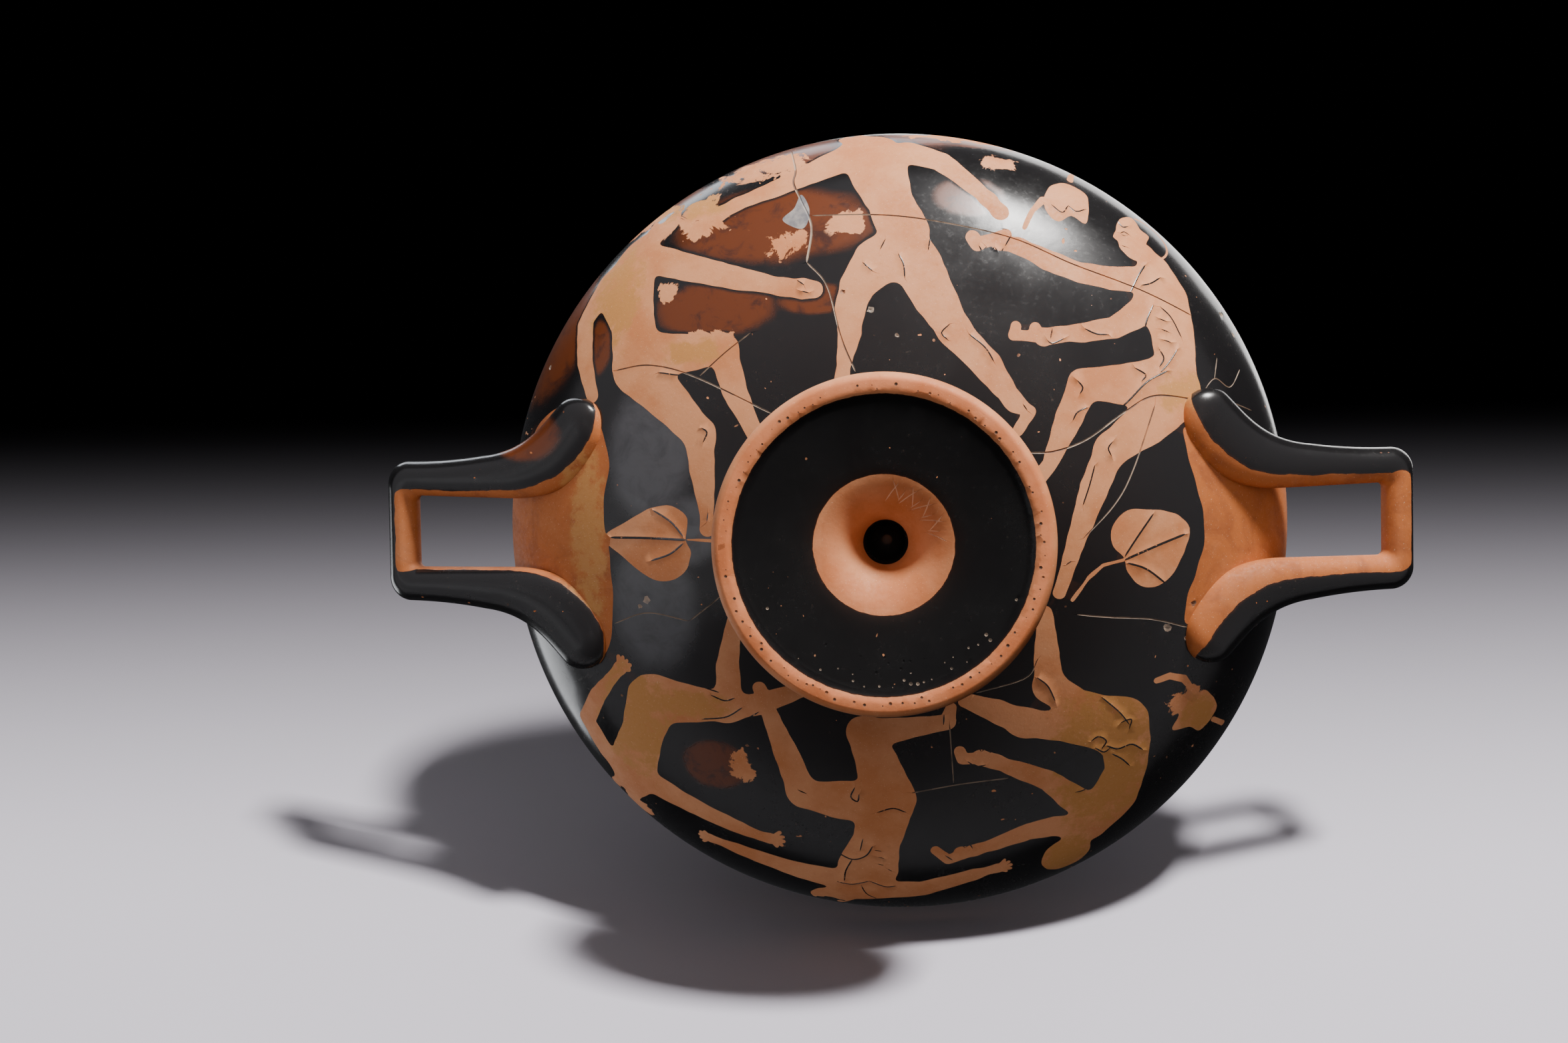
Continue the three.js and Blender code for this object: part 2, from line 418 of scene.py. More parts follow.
# Each athlete: the torso from the shoulders to the hips, then limbs from the body outwards, each as
# circles (x, y, radius); heads and fists are circles too. Hands are (wrist, finger tips).
ATHLETES = {
    "leaning": {
        "torso": [(-86, -92, 8.5), (-87.5, -81, 11.3), (-82.5, -68, 7.8), (-80, -56, 8.6)],
        "limbs": [[(-86, -94, 6), (-80, -99, 4.6), (-77, -104, 6.6)],
                  [(-80, -90, 5.6), (-62, -84, 4.5), (-46, -79.5, 3.7), (-32, -76.2, 2.6)],
                  [(-32, -76, 2.4), (-26, -75.5, 3.4), (-22.5, -75, 2.8)],
                  [(-96, -84, 5.4), (-102.5, -70, 3.8), (-100, -56, 3.2), (-95.5, -44, 2.2)],
                  [(-79, -56.5, 7.6), (-63, -56.3, 6), (-51, -57.2, 4.6)],
                  [(-50.5, -56.5, 4.6), (-46.5, -44, 3.9), (-40, -31, 2.4)],
                  [(-80, -52, 8), (-69, -42.5, 6.6), (-57.6, -31, 4.8)],
                  [(-57.6, -31, 4.6), (-56.6, -20, 4.1), (-55.2, -7, 2.2), (-55, -2.5, 2.5)]]},
    "striding": {
        "torso": [(-7, -127, 9.6), (-3, -115, 9.3), (0.8, -104, 7.2), (5, -94, 8), (4, -86, 9)],
        "limbs": [[(-9, -131, 5), (-13, -136, 5)],
                  [(-14, -123, 6.4), (-28, -115.5, 4.4), (-38, -111, 3.5), (-50, -106.5, 2.5)],
                  [(-50, -106.5, 2.4), (-55.5, -103.5, 3.4)],
                  [(6, -125, 5.6), (17, -120.5, 4.3), (24, -113.5, 3.3), (32, -105, 2.4)],
                  [(32, -105, 2.3), (35.5, -100.5, 3)],
                  [(-3, -84, 7.6), (-9, -76, 5.6), (-11.2, -69, 4.2)],
                  [(-11.2, -69, 4), (-11.3, -61, 3.6), (-13, -51, 2.1), (-13.5, -46, 2.4)],
                  [(9, -83, 7.6), (14.5, -71.5, 6.6), (20.5, -61, 4.9)],
                  [(20.5, -61, 4.7), (29.5, -51, 4.7), (38, -39, 2.6)],
                  [(38, -39, 2.4), (42.5, -36.5, 1.8), (38.5, -30.5, 1.6)]]},
    "weight_bearer": {
        "torso": [(87, -83, 6.2), (88.3, -74, 9.2), (90, -62, 8), (90.3, -53, 7.1), (88.5, -45, 8.6)],
        "limbs": [[(86, -83, 5), (84, -89, 4)],
                  [(84, -79, 4.8), (70, -78.8, 4), (60, -80.3, 3.4), (50, -84, 3.6), (41, -88.7, 2.5)],
                  [(41, -88.7, 2.2), (35, -90, 3.1)],
                  [(86, -74, 5), (77, -66.5, 4.3), (70, -62.5, 3.4), (60, -60.7, 3), (52, -60, 2.1)],
                  [(52, -60, 2.1), (47.3, -59.3, 2.9)],
                  [(86, -45, 8.3), (72, -44.6, 6.3), (59.5, -44.8, 4.6)],
                  [(59, -44, 4.5), (54.2, -34, 4.3), (48, -20.5, 2.2), (45, -17, 2.4)],
                  [(90, -42, 8.4), (79.5, -33, 7.2), (67, -24.5, 4.8)],
                  [(67, -24.5, 4.6), (61.5, -13, 4.5), (55.8, 2.5, 2.9), (52.6, 12, 2.2), (50.5, 18, 2)]]},
    "bending": {
        "torso": [(63, 98, 7.4), (69.5, 89, 8.9), (73.4, 78, 7.2), (73, 69, 8), (70.5, 62, 9.6)],
        "limbs": [[(62, 99, 5), (58.5, 105, 4.4)], [(55.4, 111.2, 8.3), (56, 111, 8.3)],
                  [(68, 61, 8.4), (56, 54, 5.3), (47.4, 47, 4.7)],
                  [(47.4, 47, 4.5), (46.6, 37, 3.9), (46, 24, 2.3)],
                  [(67, 62.5, 7.6), (52, 60.6, 4.9), (40, 58.6, 4.5)],
                  [(40, 58.6, 4.3), (31, 54, 3.8), (22, 50.4, 2.3)],
                  [(64, 93, 5.4), (54.5, 85, 4.5), (48, 79, 3.5), (38, 74.3, 2.9), (31, 71, 2)],
                  [(31, 71, 1.9), (26.5, 69.5, 2.9)],
                  [(62, 98, 5.2), (50, 96.6, 4), (42, 97.6, 3.4), (32, 101.2, 2.7), (25, 103.5, 1.9)],
                  [(25, 103.5, 1.9), (20.5, 104.6, 2.8)]]},
    "arms_wide": {
        "torso": [(-12, 119, 8.8), (-10, 110, 9.8), (-6.8, 99, 7.6), (-4, 90, 8), (-3, 84, 8.5)],
        "limbs": [[(-14, 120, 6), (-19, 124.5, 5), (-25, 128.5, 6.6)],
                  [(-20, 116.5, 5.2), (-34, 113, 4), (-44, 109.6, 3.2), (-54, 106.2, 2.6),
                   (-60, 104.2, 1.8)],
                  [(-5, 121.6, 5), (7, 121, 4.1), (16, 117.6, 3.3), (24, 115, 2.9), (29, 113.4, 1.9)],
                  [(-6, 84.5, 8), (-19, 83.5, 6.6), (-29, 82, 4.7)],
                  [(-29.4, 81, 4.6), (-33, 69, 4.1), (-37, 57, 2.8), (-40.5, 46.5, 2.3)],
                  [(-2, 82, 8), (-5.5, 70, 6.6), (-9, 60.3, 5)],
                  [(-9, 60, 4.6), (0, 59.5, 4.1), (10, 58, 3), (16.4, 57.2, 2.5), (17.5, 52.5, 1.6)]],
        "hands": [((-60, 104.2), (-67.5, 102.5)), ((29, 113.4), (37, 111.5))]},
    "tumbling": {
        "torso": [(-89.5, 83, 8.2), (-86, 74, 8.6), (-81.5, 64, 7.3), (-77, 53, 8.6)],
        "limbs": [[(-92, 87, 5), (-96.5, 92.5, 6.8)],
                  [(-75, 52, 8), (-62, 52.8, 6), (-51.5, 52.8, 4.7)],
                  [(-50.5, 51.5, 4.4), (-50.3, 40, 3.7), (-47.6, 26, 2.3)],
                  [(-51.5, 53.8, 4), (-40, 51.3, 3.5), (-27.5, 46.5, 2.3)],
                  [(-93, 80, 4.8), (-98.5, 74, 4), (-103.8, 63, 3.4), (-97, 53, 2.9), (-89.5, 45, 1.9)],
                  [(-83, 82, 5), (-72, 87.5, 3.9), (-62, 92, 3.3), (-52, 96.3, 2.8), (-45, 99, 1.9)]],
        "hands": [((-89.5, 45), (-84, 39.5)), ((-45, 99), (-36.5, 100.6))]},
}

JUMPING_WEIGHTS = [[(26.5, -91.5, 2.2), (28, -89, 2.3), (37, -92.5, 1.9)],
                   [(39, -62.6, 1.7), (38.3, -59.8, 1.7), (44.3, -59.3, 1.7), (45, -62.2, 1.7)],
                   [(20, 67.2, 1.8), (21, 69.6, 1.9), (29.3, 69.8, 2.1)],
                   [(12, 103, 1.7), (16, 107, 1.9), (21.5, 104.8, 2.2)]]

LEAVES = [[(-90.3, 0.6), (-82, -4.5), (-74, -8.6), (-66.5, -9.3), (-61.6, -5.5), (-62.2, 0.9),
           (-60.6, 5), (-63, 11), (-69, 13.8), (-76, 12.3), (-83, 7.2)],
          [(92.6, 1.4), (88.5, -4), (80, -6), (72, -6), (67, -1.2), (67.5, 5), (71, 8.6),
           (72, 13), (76.5, 17.4), (82, 17.6), (88, 12.5)]]

OIL_FLASKS = [[(50.5, -107), (54, -113), (60, -115), (66, -111), (65.6, -104), (63.5, -98),
               (59, -100.5), (54.5, -98), (51, -101)],
              [(88, 57), (91, 54.5), (96, 57.5), (99, 53.5), (103.5, 57), (105.5, 62), (100, 68.5),
               (95, 66), (88.6, 66), (90.5, 61)]]

# Straps of the flasks and stems of the leaves.
STRAPS = [[(61.5, -117.5, 1.2), (64, -123, 0.9), (67, -127.5, 1.1)],
          [(50, -106, 1.2), (46, -101.5, 0.9), (43, -95, 0.8)],
          [(82, 48, 0.9), (86.5, 47, 1.2), (91.5, 48.5, 1.2), (96, 54, 0.8)],
          [(105, 65.5, 0.9), (110.6, 69, 1.1)], [(-61.5, 0.9, 0.35), (-54, 1.1, 0.5)],
          [(71, 8.9, 0.4), (64, 10.4, 0.5), (59.5, 14, 0.6), (54.5, 20.5, 0.5)]]

PANELS = [[(-88.6, -22), (-90.5, -8), (-88.9, 5), (-88, 17), (-88.4, 27), (-92, 38), (-99, 41.6),
           (-108, 39), (-118, 32.5), (-120, 24), (-126, 17), (-146, 16), (-146, -15), (-126, -16),
           (-120, -24), (-122, -32.5), (-112, -40.6), (-100, -41), (-92.5, -35)],
          [(92, -31), (92.4, -23), (95.3, -13), (97.4, -4), (97.5, 5), (94.3, 15), (91.4, 23),
           (91.8, 30.5), (101, 26), (112, 21), (126, 17), (146, 16), (146, -15), (126, -16),
           (110, -19), (101, -24)]]

WEIGHT_BEARER_FACE = [(83, -104.6), (78, -103), (75.2, -99.6), (74.2, -96.6), (72.8, -94), (74.2, -92.6),
                      (74.4, -90.4), (75.6, -88.6), (78, -86.4), (82, -85.6), (86, -88), (85, -93),
                      (87.5, -97), (84.6, -99.6)]


# Black hair over a head: middle, half sizes, lean in radians.
HAIR = [((-80.5, -110.5), 8.2, 4.4, 0.35), ((-29, 134), 8.5, 3.8, -0.45), ((-102, 97.5), 7.5, 3.6, -0.9)]


def head_outline(p, middle, along, across, lean):
    """An oval of half sizes along and across, turned by lean radians."""
    x, y = p[:, 0] - middle[0], p[:, 1] - middle[1]
    u = x * math.cos(lean) + y * math.sin(lean)
    v = y * math.cos(lean) - x * math.sin(lean)
    return (np.hypot(u / along, v / across) - 1) * min(along, across)


def waviness(p, pitch, amount):
    """A slow wandering of an outline, as a brush gives it."""
    x, y = p[:, 0] / pitch, p[:, 1] / pitch
    return amount * (np.sin(x + 1.7 * np.sin(0.6 * y + 1)) * np.sin(1.3 * y + 0.9 * np.sin(0.7 * x)))


def athlete(p, parts):
    """One figure: its torso, limbs and hands run together with soft inner corners."""
    shape = limb(p, parts["torso"])
    for stations in parts["limbs"]:
        shape = merged(shape, limb(p, stations))
    for wrist, reach in parts.get("hands", ()):
        shape = merged(shape, hand(p, wrist, reach), 0.6)
    return shape


def painting(p):
    """Signed distance of all the clay left bare on the wall, negative inside it."""
    shape = np.full(len(p), FAR)
    for parts in ATHLETES.values():
        shape = np.minimum(shape, athlete(p, parts))
    shape = np.minimum(shape, patch(p, WEIGHT_BEARER_FACE))
    for stations in JUMPING_WEIGHTS + STRAPS:
        shape = np.minimum(shape, limb(p, stations))
    for outline in LEAVES + OIL_FLASKS:
        shape = np.minimum(shape, patch(p, outline))
    shape = shape + waviness(p, 1.9, 0.14)
    for outline in PANELS:
        shape = np.minimum(shape, patch(p, outline) + waviness(p, 4.0, 0.3))
    for middle, along, across, lean in HAIR:
        hair = head_outline(p, middle, along, across, lean) + waviness(p, 1.2, 0.8)
        shape = np.maximum(shape, -hair)
    hair_line = np.abs(head_outline(p, (85.6, -96), 9.2, 8.8, 0.5)) - LINE_HALF
    shape = np.minimum(shape, np.maximum(hair_line, 84 - p[:, 0]))
    s = np.hypot(p[:, 0], p[:, 1])
    shape = np.maximum(shape, GROUND_LINE - s)
    return np.minimum(shape, np.abs(s - GROUND_LINE) - GROUND_LINE_HALF)


# ---------------------------------------------------------------- lines

# Thin glaze lines on the figures: width, then points.
INK = [
    (0.6, [(83, -84.5), (80, -80.5), (76.5, -74.5)]), (0.5, [(80.5, -77), (84, -78), (88, -80.5)]),
    (0.55, [(84, -70.5), (81.5, -66), (80.3, -62.5)]), (0.45, [(86.5, -70), (90, -66.5), (93, -60)]),
    (0.45, [(85.5, -66), (88, -65.2)]), (0.45, [(86, -62.5), (88.6, -61.6)]),
    (0.45, [(86.5, -59), (89, -58.2)]), (0.5, [(91, -56), (88, -52), (84.6, -48.5)]),
    (0.5, [(84.6, -56), (86, -53), (84.3, -50.2)]),
    (0.55, [(87, -49), (80, -45.5), (74, -40), (70, -36.5)]),
    (0.5, [(76, -49.8), (79.5, -47.6), (78, -45.6)]), (0.5, [(57.4, -45.8), (59, -43.6), (58, -41.6)]),
    (0.45, [(60, -37.5), (57, -36), (55.5, -33.5)]), (0.45, [(67.8, -27), (66.4, -25), (67.4, -22.6)]),
    (0.45, [(62, -20), (60.2, -14), (58, -8)]), (0.4, [(54.2, 8.6), (52.6, 9.6)]),
    (0.45, [(53.8, -58.8), (50, -57.2), (48.6, -58.2)]), (0.45, [(50.2, -61.8), (49.6, -58.8)]),
    (0.45, [(38.6, -92.2), (36.6, -88.6)]), (0.5, [(30.6, -88.4), (31.8, -86.4), (33.2, -88.2)]),
    (0.5, [(33.4, -88), (34.8, -86), (36, -87.8)]), (0.5, [(28.4, -88.6), (29.4, -86.8), (30.6, -88.2)]),
    (0.4, [(37.4, -94.4), (33, -94.6), (29, -93.4)]), (0.5, [(60.4, -62), (64, -60.4), (68, -60.2)]),
    (0.5, [(-20, 103.5), (-15, 106.6), (-10.5, 105), (-8, 101)]),
    (0.5, [(-15, 106.6), (-17.5, 112), (-18.4, 117)]),
    (0.45, [(-21, 117.6), (-16, 118.6), (-10, 116.6)]), (0.45, [(-10, 116.6), (-5, 119.4), (-1.5, 119)]),
    (0.45, [(-13, 119), (-11.5, 124), (-8.5, 127)]), (0.4, [(-6.4, 105.5), (-4.6, 106)]),
    (0.4, [(-6.8, 108.4), (-5, 109)]), (0.4, [(-7.4, 102.6), (-5.4, 103)]),
    (0.4, [(-3.6, 110.8), (-2.4, 111.6)]), (0.5, [(-12.6, 79), (-14, 82.4), (-12, 84), (-11.4, 81.4)]),
    (0.45, [(-30.6, 80.4), (-28, 81.6)]), (0.4, [(-11, 98), (-12.2, 103)]),
    (0.45, [(15.4, 54.6), (15.2, 58)]), (0.45, [(-6, 88), (-1, 86.5), (3, 88)]),
    (0.55, [(66, 68.4), (70, 70), (74.6, 69), (78.6, 71.5)]),
    (0.5, [(68, 71.5), (71.5, 73.8), (74.5, 76.8)]),
    (0.5, [(61, 66.4), (63.4, 65), (66, 66.8), (64.6, 69.4)]),
    (0.5, [(62.4, 68.8), (65.4, 70.6), (67.4, 69.4)]), (0.45, [(64, 51.8), (70, 57.4), (73.5, 62)]),
    (0.45, [(70.4, 61), (74, 60.2), (73.4, 63.6)]), (0.45, [(24, 67.2), (25.4, 65.6), (26.6, 67.4)]),
    (0.45, [(26.8, 67.4), (28.2, 66), (29.4, 68)]), (0.45, [(22.4, 70.6), (25, 72.4), (28, 72)]),
    (0.45, [(18.4, 102.4), (20, 101), (21.4, 102.4)]),
    (0.45, [(21.6, 102.2), (23, 101.2), (23.8, 102.8)]), (0.45, [(15, 105.2), (17.4, 107.4)]),
    (0.45, [(49.4, 52), (47, 47), (43.6, 44)]), (0.4, [(56.5, 84.2), (59.5, 83.6), (62, 81.5)]),
    (0.45, [(-7.6, -83.4), (-4.4, -80.4)]), (0.45, [(5.4, -78), (5, -82.5), (3.4, -86)]),
    (0.4, [(-0.6, -91), (-2.2, -87.6)]), (0.4, [(13.4, -91.6), (12.6, -87)]),
    (0.4, [(19, -63.4), (16.4, -60.6), (18.4, -58.2)]),
    (0.45, [(24.6, -60.2), (29.4, -56), (32, -51.6)]), (0.45, [(40.4, -38.6), (41.6, -36.8)]),
    (0.5, [(-57, -33), (-55.2, -31.6), (-56.4, -28.6)]), (0.4, [(-54.8, -7.4), (-55.2, -4.6)]),
    (0.45, [(-72, -50.6), (-62, -49.4), (-54, -51.6)]), (0.45, [(-27.8, -78.2), (-25.6, -76.6)]),
    (0.45, [(-26.4, -74.6), (-24, -74)]), (0.45, [(-60, 57.6), (-52, 56.4), (-46.4, 53)]),
    (0.45, [(-56.4, 49.4), (-52, 51), (-48.6, 50)]), (0.45, [(-45.8, 57), (-41.2, 54.2)]),
    (0.45, [(-58.6, 47), (-53.6, 48.4)]),
    (0.55, [(75.4, -101.6), (77.2, -98.8), (79.6, -99.6)]),
    (0.45, [(75.8, -95.9), (77.4, -96.7), (79, -95.8)]), (0.45, [(76.2, -95.3), (77.6, -95)]),
    (0.45, [(75.6, -90.9), (77, -90.6)]), (0.75, [(-88, 0.7), (-76, 0.6), (-62, 1)]),
    (0.6, [(-63, 0), (-67, -4.4), (-73, -8)]), (0.6, [(-63, 2), (-67.6, 5.4), (-74, 7.6)]),
    (0.75, [(91, 2), (82, 5), (71, 9)]), (0.6, [(71, 8), (75, 2.4), (80.5, -4.8)]),
    (0.6, [(72, 10), (78, 12.2), (84.4, 17)]), (0.45, [(52.6, -104.4), (56, -101.6), (58.4, -104.6)]),
    (0.45, [(58.4, -104.6), (61, -102.6), (64.6, -104)])]

# Breaks mended in the past, and later cracks: width, then points.
CRACKS = [
    (0.75, [(-34.5, -131), (-31, -119), (-31, -113), (-28, -106), (-24, -96), (-25, -84)]),
    (0.5, [(-25, -84), (-18.5, -76), (-14, -60), (-9.5, -49)]),
    (0.45, [(-24, -100), (0, -99.2), (20, -96), (40, -91), (58, -83), (80, -75.4), (98, -68)]),
    (0.5, [(-87, -52), (-75, -53), (-60, -49), (-35, -37)]), (0.4, [(-58, -49), (-50, -56), (-42, -62)]),
    (0.6, [(42, -24), (50, -24.4), (60, -28), (72, -36), (82, -41), (96, -40)]),
    (0.45, [(82, -38), (74, -18), (68, -8), (58, 2)]),
    (0.45, [(56, 25), (66, 26.4), (80, 28), (92, 31.5)]), (0.4, [(5, 81), (20, 78.4), (35, 77)]),
    (0.35, [(17, 58), (18, 78)]), (0.35, [(98, -41), (104, -47), (110, -44.5), (116, -51)]),
    (0.35, [(104, -47), (106, -54)]), (0.35, [(98, -40.5), (107, -40), (119, -37)]),
    (0.35, [(92, 31.5), (96, 36), (94, 41)]), (0.35, [(-62, 26), (-54, 20), (-48, 15)]),
    (0.35, [(-88, 28), (-76, 24), (-62, 26)]), (0.35, [(25, 48), (40, 44), (44, 38)])]

REPAIR = [(-28, -108), (-25, -102.5), (-25.5, -97), (-28, -95.5), (-33.5, -99), (-30, -103)]

CHIP_CORNERS = 9
# Middle and radius of each chip.
CHIPS = [(85, 31, 1.5), (96, 41, 1.7), (-76, 20, 1.3), (-78.5, 22, 0.8), (92, 35, 1.0), (-5, -68, 1.1),
         (3, -60, 0.7), (94, 24, 1.0), (-13.5, -74, 0.8), (113, -71, 1.2), (117, -64, 0.9), (-118, -56, 0.9)]


def ribbon(width, points, step=0.75):
    """A line with tapered ends: its middle points and the half width at each."""
    line = smooth_curve(points, step)
    run = np.r_[0, np.cumsum(np.hypot(*np.diff(line, axis=0).T))]
    end = np.minimum(run, run[-1] - run)
    half = width / 2 * np.clip(0.3 + end / 1.6, 0.3, 1)
    return line, half


def ribbon_edges(line, half):
    """Points and edges of a ribbon: its left side, its right side and its middle."""
    way = np.gradient(line, axis=0)
    way /= np.maximum(np.hypot(*way.T), 1e-9)[:, None]
    side = np.stack([-way[:, 1], way[:, 0]], 1) * half[:, None]
    n = len(line)
    chain = np.stack([np.arange(n - 1), np.arange(1, n)], 1)
    ends = np.array([[0, 2 * n], [n, 2 * n], [n - 1, 3 * n - 1], [2 * n - 1, 3 * n - 1]])
    return (np.vstack([line + side, line - side, line]),
            np.vstack([chain, chain + n, chain + 2 * n, ends]))


def ribbon_share(p, lines):
    """Distance from the nearest line's middle as a share of its half width, at most 9."""
    result = np.full(len(p), 9.0)
    for width, points in lines:
        line, half = ribbon(width, points)
        near = np.nonzero(np.all((p > line.min(0) - width) & (p < line.max(0) + width), axis=1))[0]
        if not len(near):
            continue
        q = p[near]
        best = np.full(len(q), 9.0)
        for start, end, h0, h1 in zip(line[:-1], line[1:], half[:-1], half[1:]):
            edge = end - start
            rel = q - start
            share = np.clip(rel @ edge / max(edge @ edge, 1e-9), 0, 1)
            gap = np.hypot(*(rel - share[:, None] * edge).T)
            best = np.minimum(best, gap / (h0 + (h1 - h0) * share))
        result[near] = np.minimum(result[near], best)
    return result


def contour(field, start, pitch):
    """Points and edges of the zero line of a field given on a square grid, cell by cell."""
    ny, nx = field.shape
    inside = field < 0
    ids = np.full((2, ny, nx), -1)
    points = []
    count = 0
    for axis in (0, 1):
        a = field[:, :-1] if axis == 0 else field[:-1, :]
        b = field[:, 1:] if axis == 0 else field[1:, :]
        row, col = np.nonzero((a < 0) != (b < 0))
        share = np.clip(a[row, col] / (a[row, col] - b[row, col]), 0.1, 0.9)
        step = np.stack([share, np.zeros_like(share)] if axis == 0 else [np.zeros_like(share), share], 1)
        points.append(start + pitch * (np.stack([col, row], 1) + step))
        ids[axis, row, col] = count + np.arange(len(row))
        count += len(row)
    code = (inside[:-1, :-1] * 1 + inside[:-1, 1:] * 2 + inside[1:, 1:] * 4 + inside[1:, :-1] * 8)
    side = {"low": (0, 0, 0), "right": (1, 0, 1), "high": (0, 1, 0), "left": (1, 0, 0)}
    cases = {1: ["left low"], 2: ["low right"], 3: ["left right"], 4: ["right high"],
             5: ["left low", "right high"], 6: ["low high"], 7: ["left high"]}
    edges = []
    for case, pairs in cases.items():
        for value in (case, 15 - case):
            row, col = np.nonzero(code == value)
            for pair in (cases[5] if value == 5 else ["low right", "left high"] if value == 10 else pairs):
                ends = [side[name] for name in pair.split()]
                edges.append(np.stack([ids[k, row + dr, col + dc] for k, dr, dc in ends], 1))
    return np.vstack(points), np.vstack(edges)


def loop_edges(count):
    """Edges of a closed loop of points."""
    return np.stack([np.arange(count), (np.arange(count) + 1) % count], 1)


def wall_marks():
    """Everything on the wall that the mesh's edges have to follow."""
    marks = Marks()
    axis = np.arange(-143, 143, CONTOUR_PITCH)
    x, y = np.meshgrid(axis, axis)
    flat = np.stack([x.ravel(), y.ravel()], 1)
    points, edges = contour(painting(flat).reshape(x.shape), axis[0], CONTOUR_PITCH)
    s = np.hypot(*points.T)
    edges = edges[np.all((s[edges] > 38) & (s[edges] < CHART_END), axis=1)]
    used = np.unique(edges)
    renumber = np.full(len(points), -1)
    renumber[used] = np.arange(len(used))
    marks.add(points[used], renumber[edges])
    for width, route in INK + CRACKS:
        marks.add(*ribbon_edges(*ribbon(width, route)))
    rng = np.random.default_rng(5)
    turn = np.arange(CHIP_CORNERS) * 2 * math.pi / CHIP_CORNERS
    for cx, cy, radius in CHIPS:
        size = radius * rng.uniform(0.7, 1.2, CHIP_CORNERS)
        rim = np.stack([cx + size * np.cos(turn), cy + size * np.sin(turn)], 1)
        marks.add(np.vstack([rim, [[cx, cy]]]), loop_edges(CHIP_CORNERS))
    outline = smooth_curve(REPAIR, 0.8, True)
    marks.add(outline, loop_edges(len(outline)))
    return marks


# ---------------------------------------------------------------- underside and wear

RESERVED_FUNNEL = FUNNEL_RADIUS + 0.7
RESERVED_RING = RING_INNER - 0.4
FOOT_EDGE_BARE = 5.0
# Height (mm) above which the funnel and the bore are glazed black: painted shade for the dark hole.
BORE_PAINTED_SHADE_Z = 15.0
PIT_TRIES = 230
PIT_GAP = 1.7
PIT_CORNERS = 7


def ring_pits():
    """Middles, radii and depths of the small pits worn into the standing ring and the glaze near it."""
    rng = np.random.default_rng(11)
    count = PIT_TRIES
    on_ring = rng.uniform(size=count) < 0.72
    radius = np.where(on_ring, rng.uniform(RING_INNER + 0.9, RING_OUTER - 1.5, count),
                      RING_INNER - 3 - 9 * rng.uniform(size=count) ** 2)
    angle = rng.uniform(0, 2 * math.pi, count)
    angle = np.where(on_ring, angle, rng.normal(1.35, 0.45, count))
    middles = np.stack([radius * np.cos(angle), radius * np.sin(angle)], 1)
    keep = []
    for k, middle in enumerate(middles):
        if all(math.hypot(*(middle - middles[j])) > PIT_GAP for j in keep):
            keep.append(k)
    size = rng.uniform(0.22, 0.62, count) ** 1.2
    return middles[keep], size[keep], (0.6 * size)[keep]


def funnel_strokes():
    """A row of shallow scratched strokes round one side of the funnel: slanting pairs and ticks that
    spell nothing."""
    strokes = []
    for k in range(13):
        angle = math.radians(-82 + 6.1 * k)
        lean = math.radians((6, -5, 2)[k % 3])
        inner, outer = ((12.4, 18.0), (13.4, 18.6), (12.9, 16.2))[k % 3]
        strokes.append((0.34, [(r * math.cos(angle + lean * share), r * math.sin(angle + lean * share))
                               for r, share in ((inner, -1), ((inner + outer) / 2, 0.1), (outer, 1))]))
    return strokes


def flat_from_radius(chart, points):
    """Chart points of points in plan, for a chart whose radius always grows."""
    r = np.hypot(*points.T)
    s = np.interp(r, chart.profile[:, 0], chart.s)
    return points * (s / r)[:, None]


def under_marks():
    marks = Marks()
    turn = np.arange(PIT_CORNERS) * 2 * math.pi / PIT_CORNERS
    for middle, size, _ in zip(*ring_pits()):
        rim = middle + size * np.stack([np.cos(turn), np.sin(turn)], 1)
        marks.add(flat_from_radius(UNDER, np.vstack([rim, middle])), loop_edges(PIT_CORNERS))
    for width, points in funnel_strokes():
        sides, edges = ribbon_edges(*ribbon(width, points))
        marks.add(flat_from_radius(UNDER, sides), edges)
    return marks


def blob(p, middle, size):
    """1 in the middle of an oval spot, falling smoothly to 0 at about its half sizes."""
    gap = ((p - middle) / size)
    return np.exp(-1.3 * (gap ** 2).sum(1) ** 1.5)


# Worn places on the chart: middle and half sizes.
MISFIRED = [((-36, -98), (40, 16)), ((-55, -70), (24, 11)), ((-22, -72), (14, 6)), ((-120, -72), (24, 34)),
            ((-95, -60), (7, 12)), ((-20, -128), (44, 12)), ((26, -106), (14, 9)), ((18, -134), (40, 6)),
            ((-90, -118), (30, 10)), ((-57, 73), (13, 10)), ((-112, -30), (14, 9))]
FLAKED = [((-42, -122), (20, 9)), ((36, -122), (8, 5)), ((26, -137), (28, 5)), ((-64, -104), (14, 10)),
          ((-84, -110), (14, 7)), ((-12, -97), (8, 5)), ((-72, -76), (5, 5)), ((-56, -61), (14, 3)),
          ((-100, -108), (26, 6)), ((-48, 73), (5, 7)), ((-92, 98), (8, 7)), ((92, 56), (8, 7)),
          ((-33, -91), (9, 7))]
MATT = [((-74, -26), (16, 24)), ((-74, 22), (16, 22)), ((-62, -2), (12, 12))]
STAINED = [((-90, -78), (13, 22)), ((-66, -110), (20, 8)), ((92, -42), (11, 9)), ((-84, 60), (16, 26)),
           ((-66, 53), (18, 6)), ((66, 72), (22, 34)), ((56, 111), (12, 12)), ((98, 62), (9, 9)),
           ((-60, -57), (14, 5)), ((-96, 0), (8, 34))]


def spots(p, places):
    result = np.zeros(len(p))
    for middle, size in places:
        result = np.maximum(result, blob(p, np.array(middle), np.array(size)))
    return result


# ---------------------------------------------------------------- handles

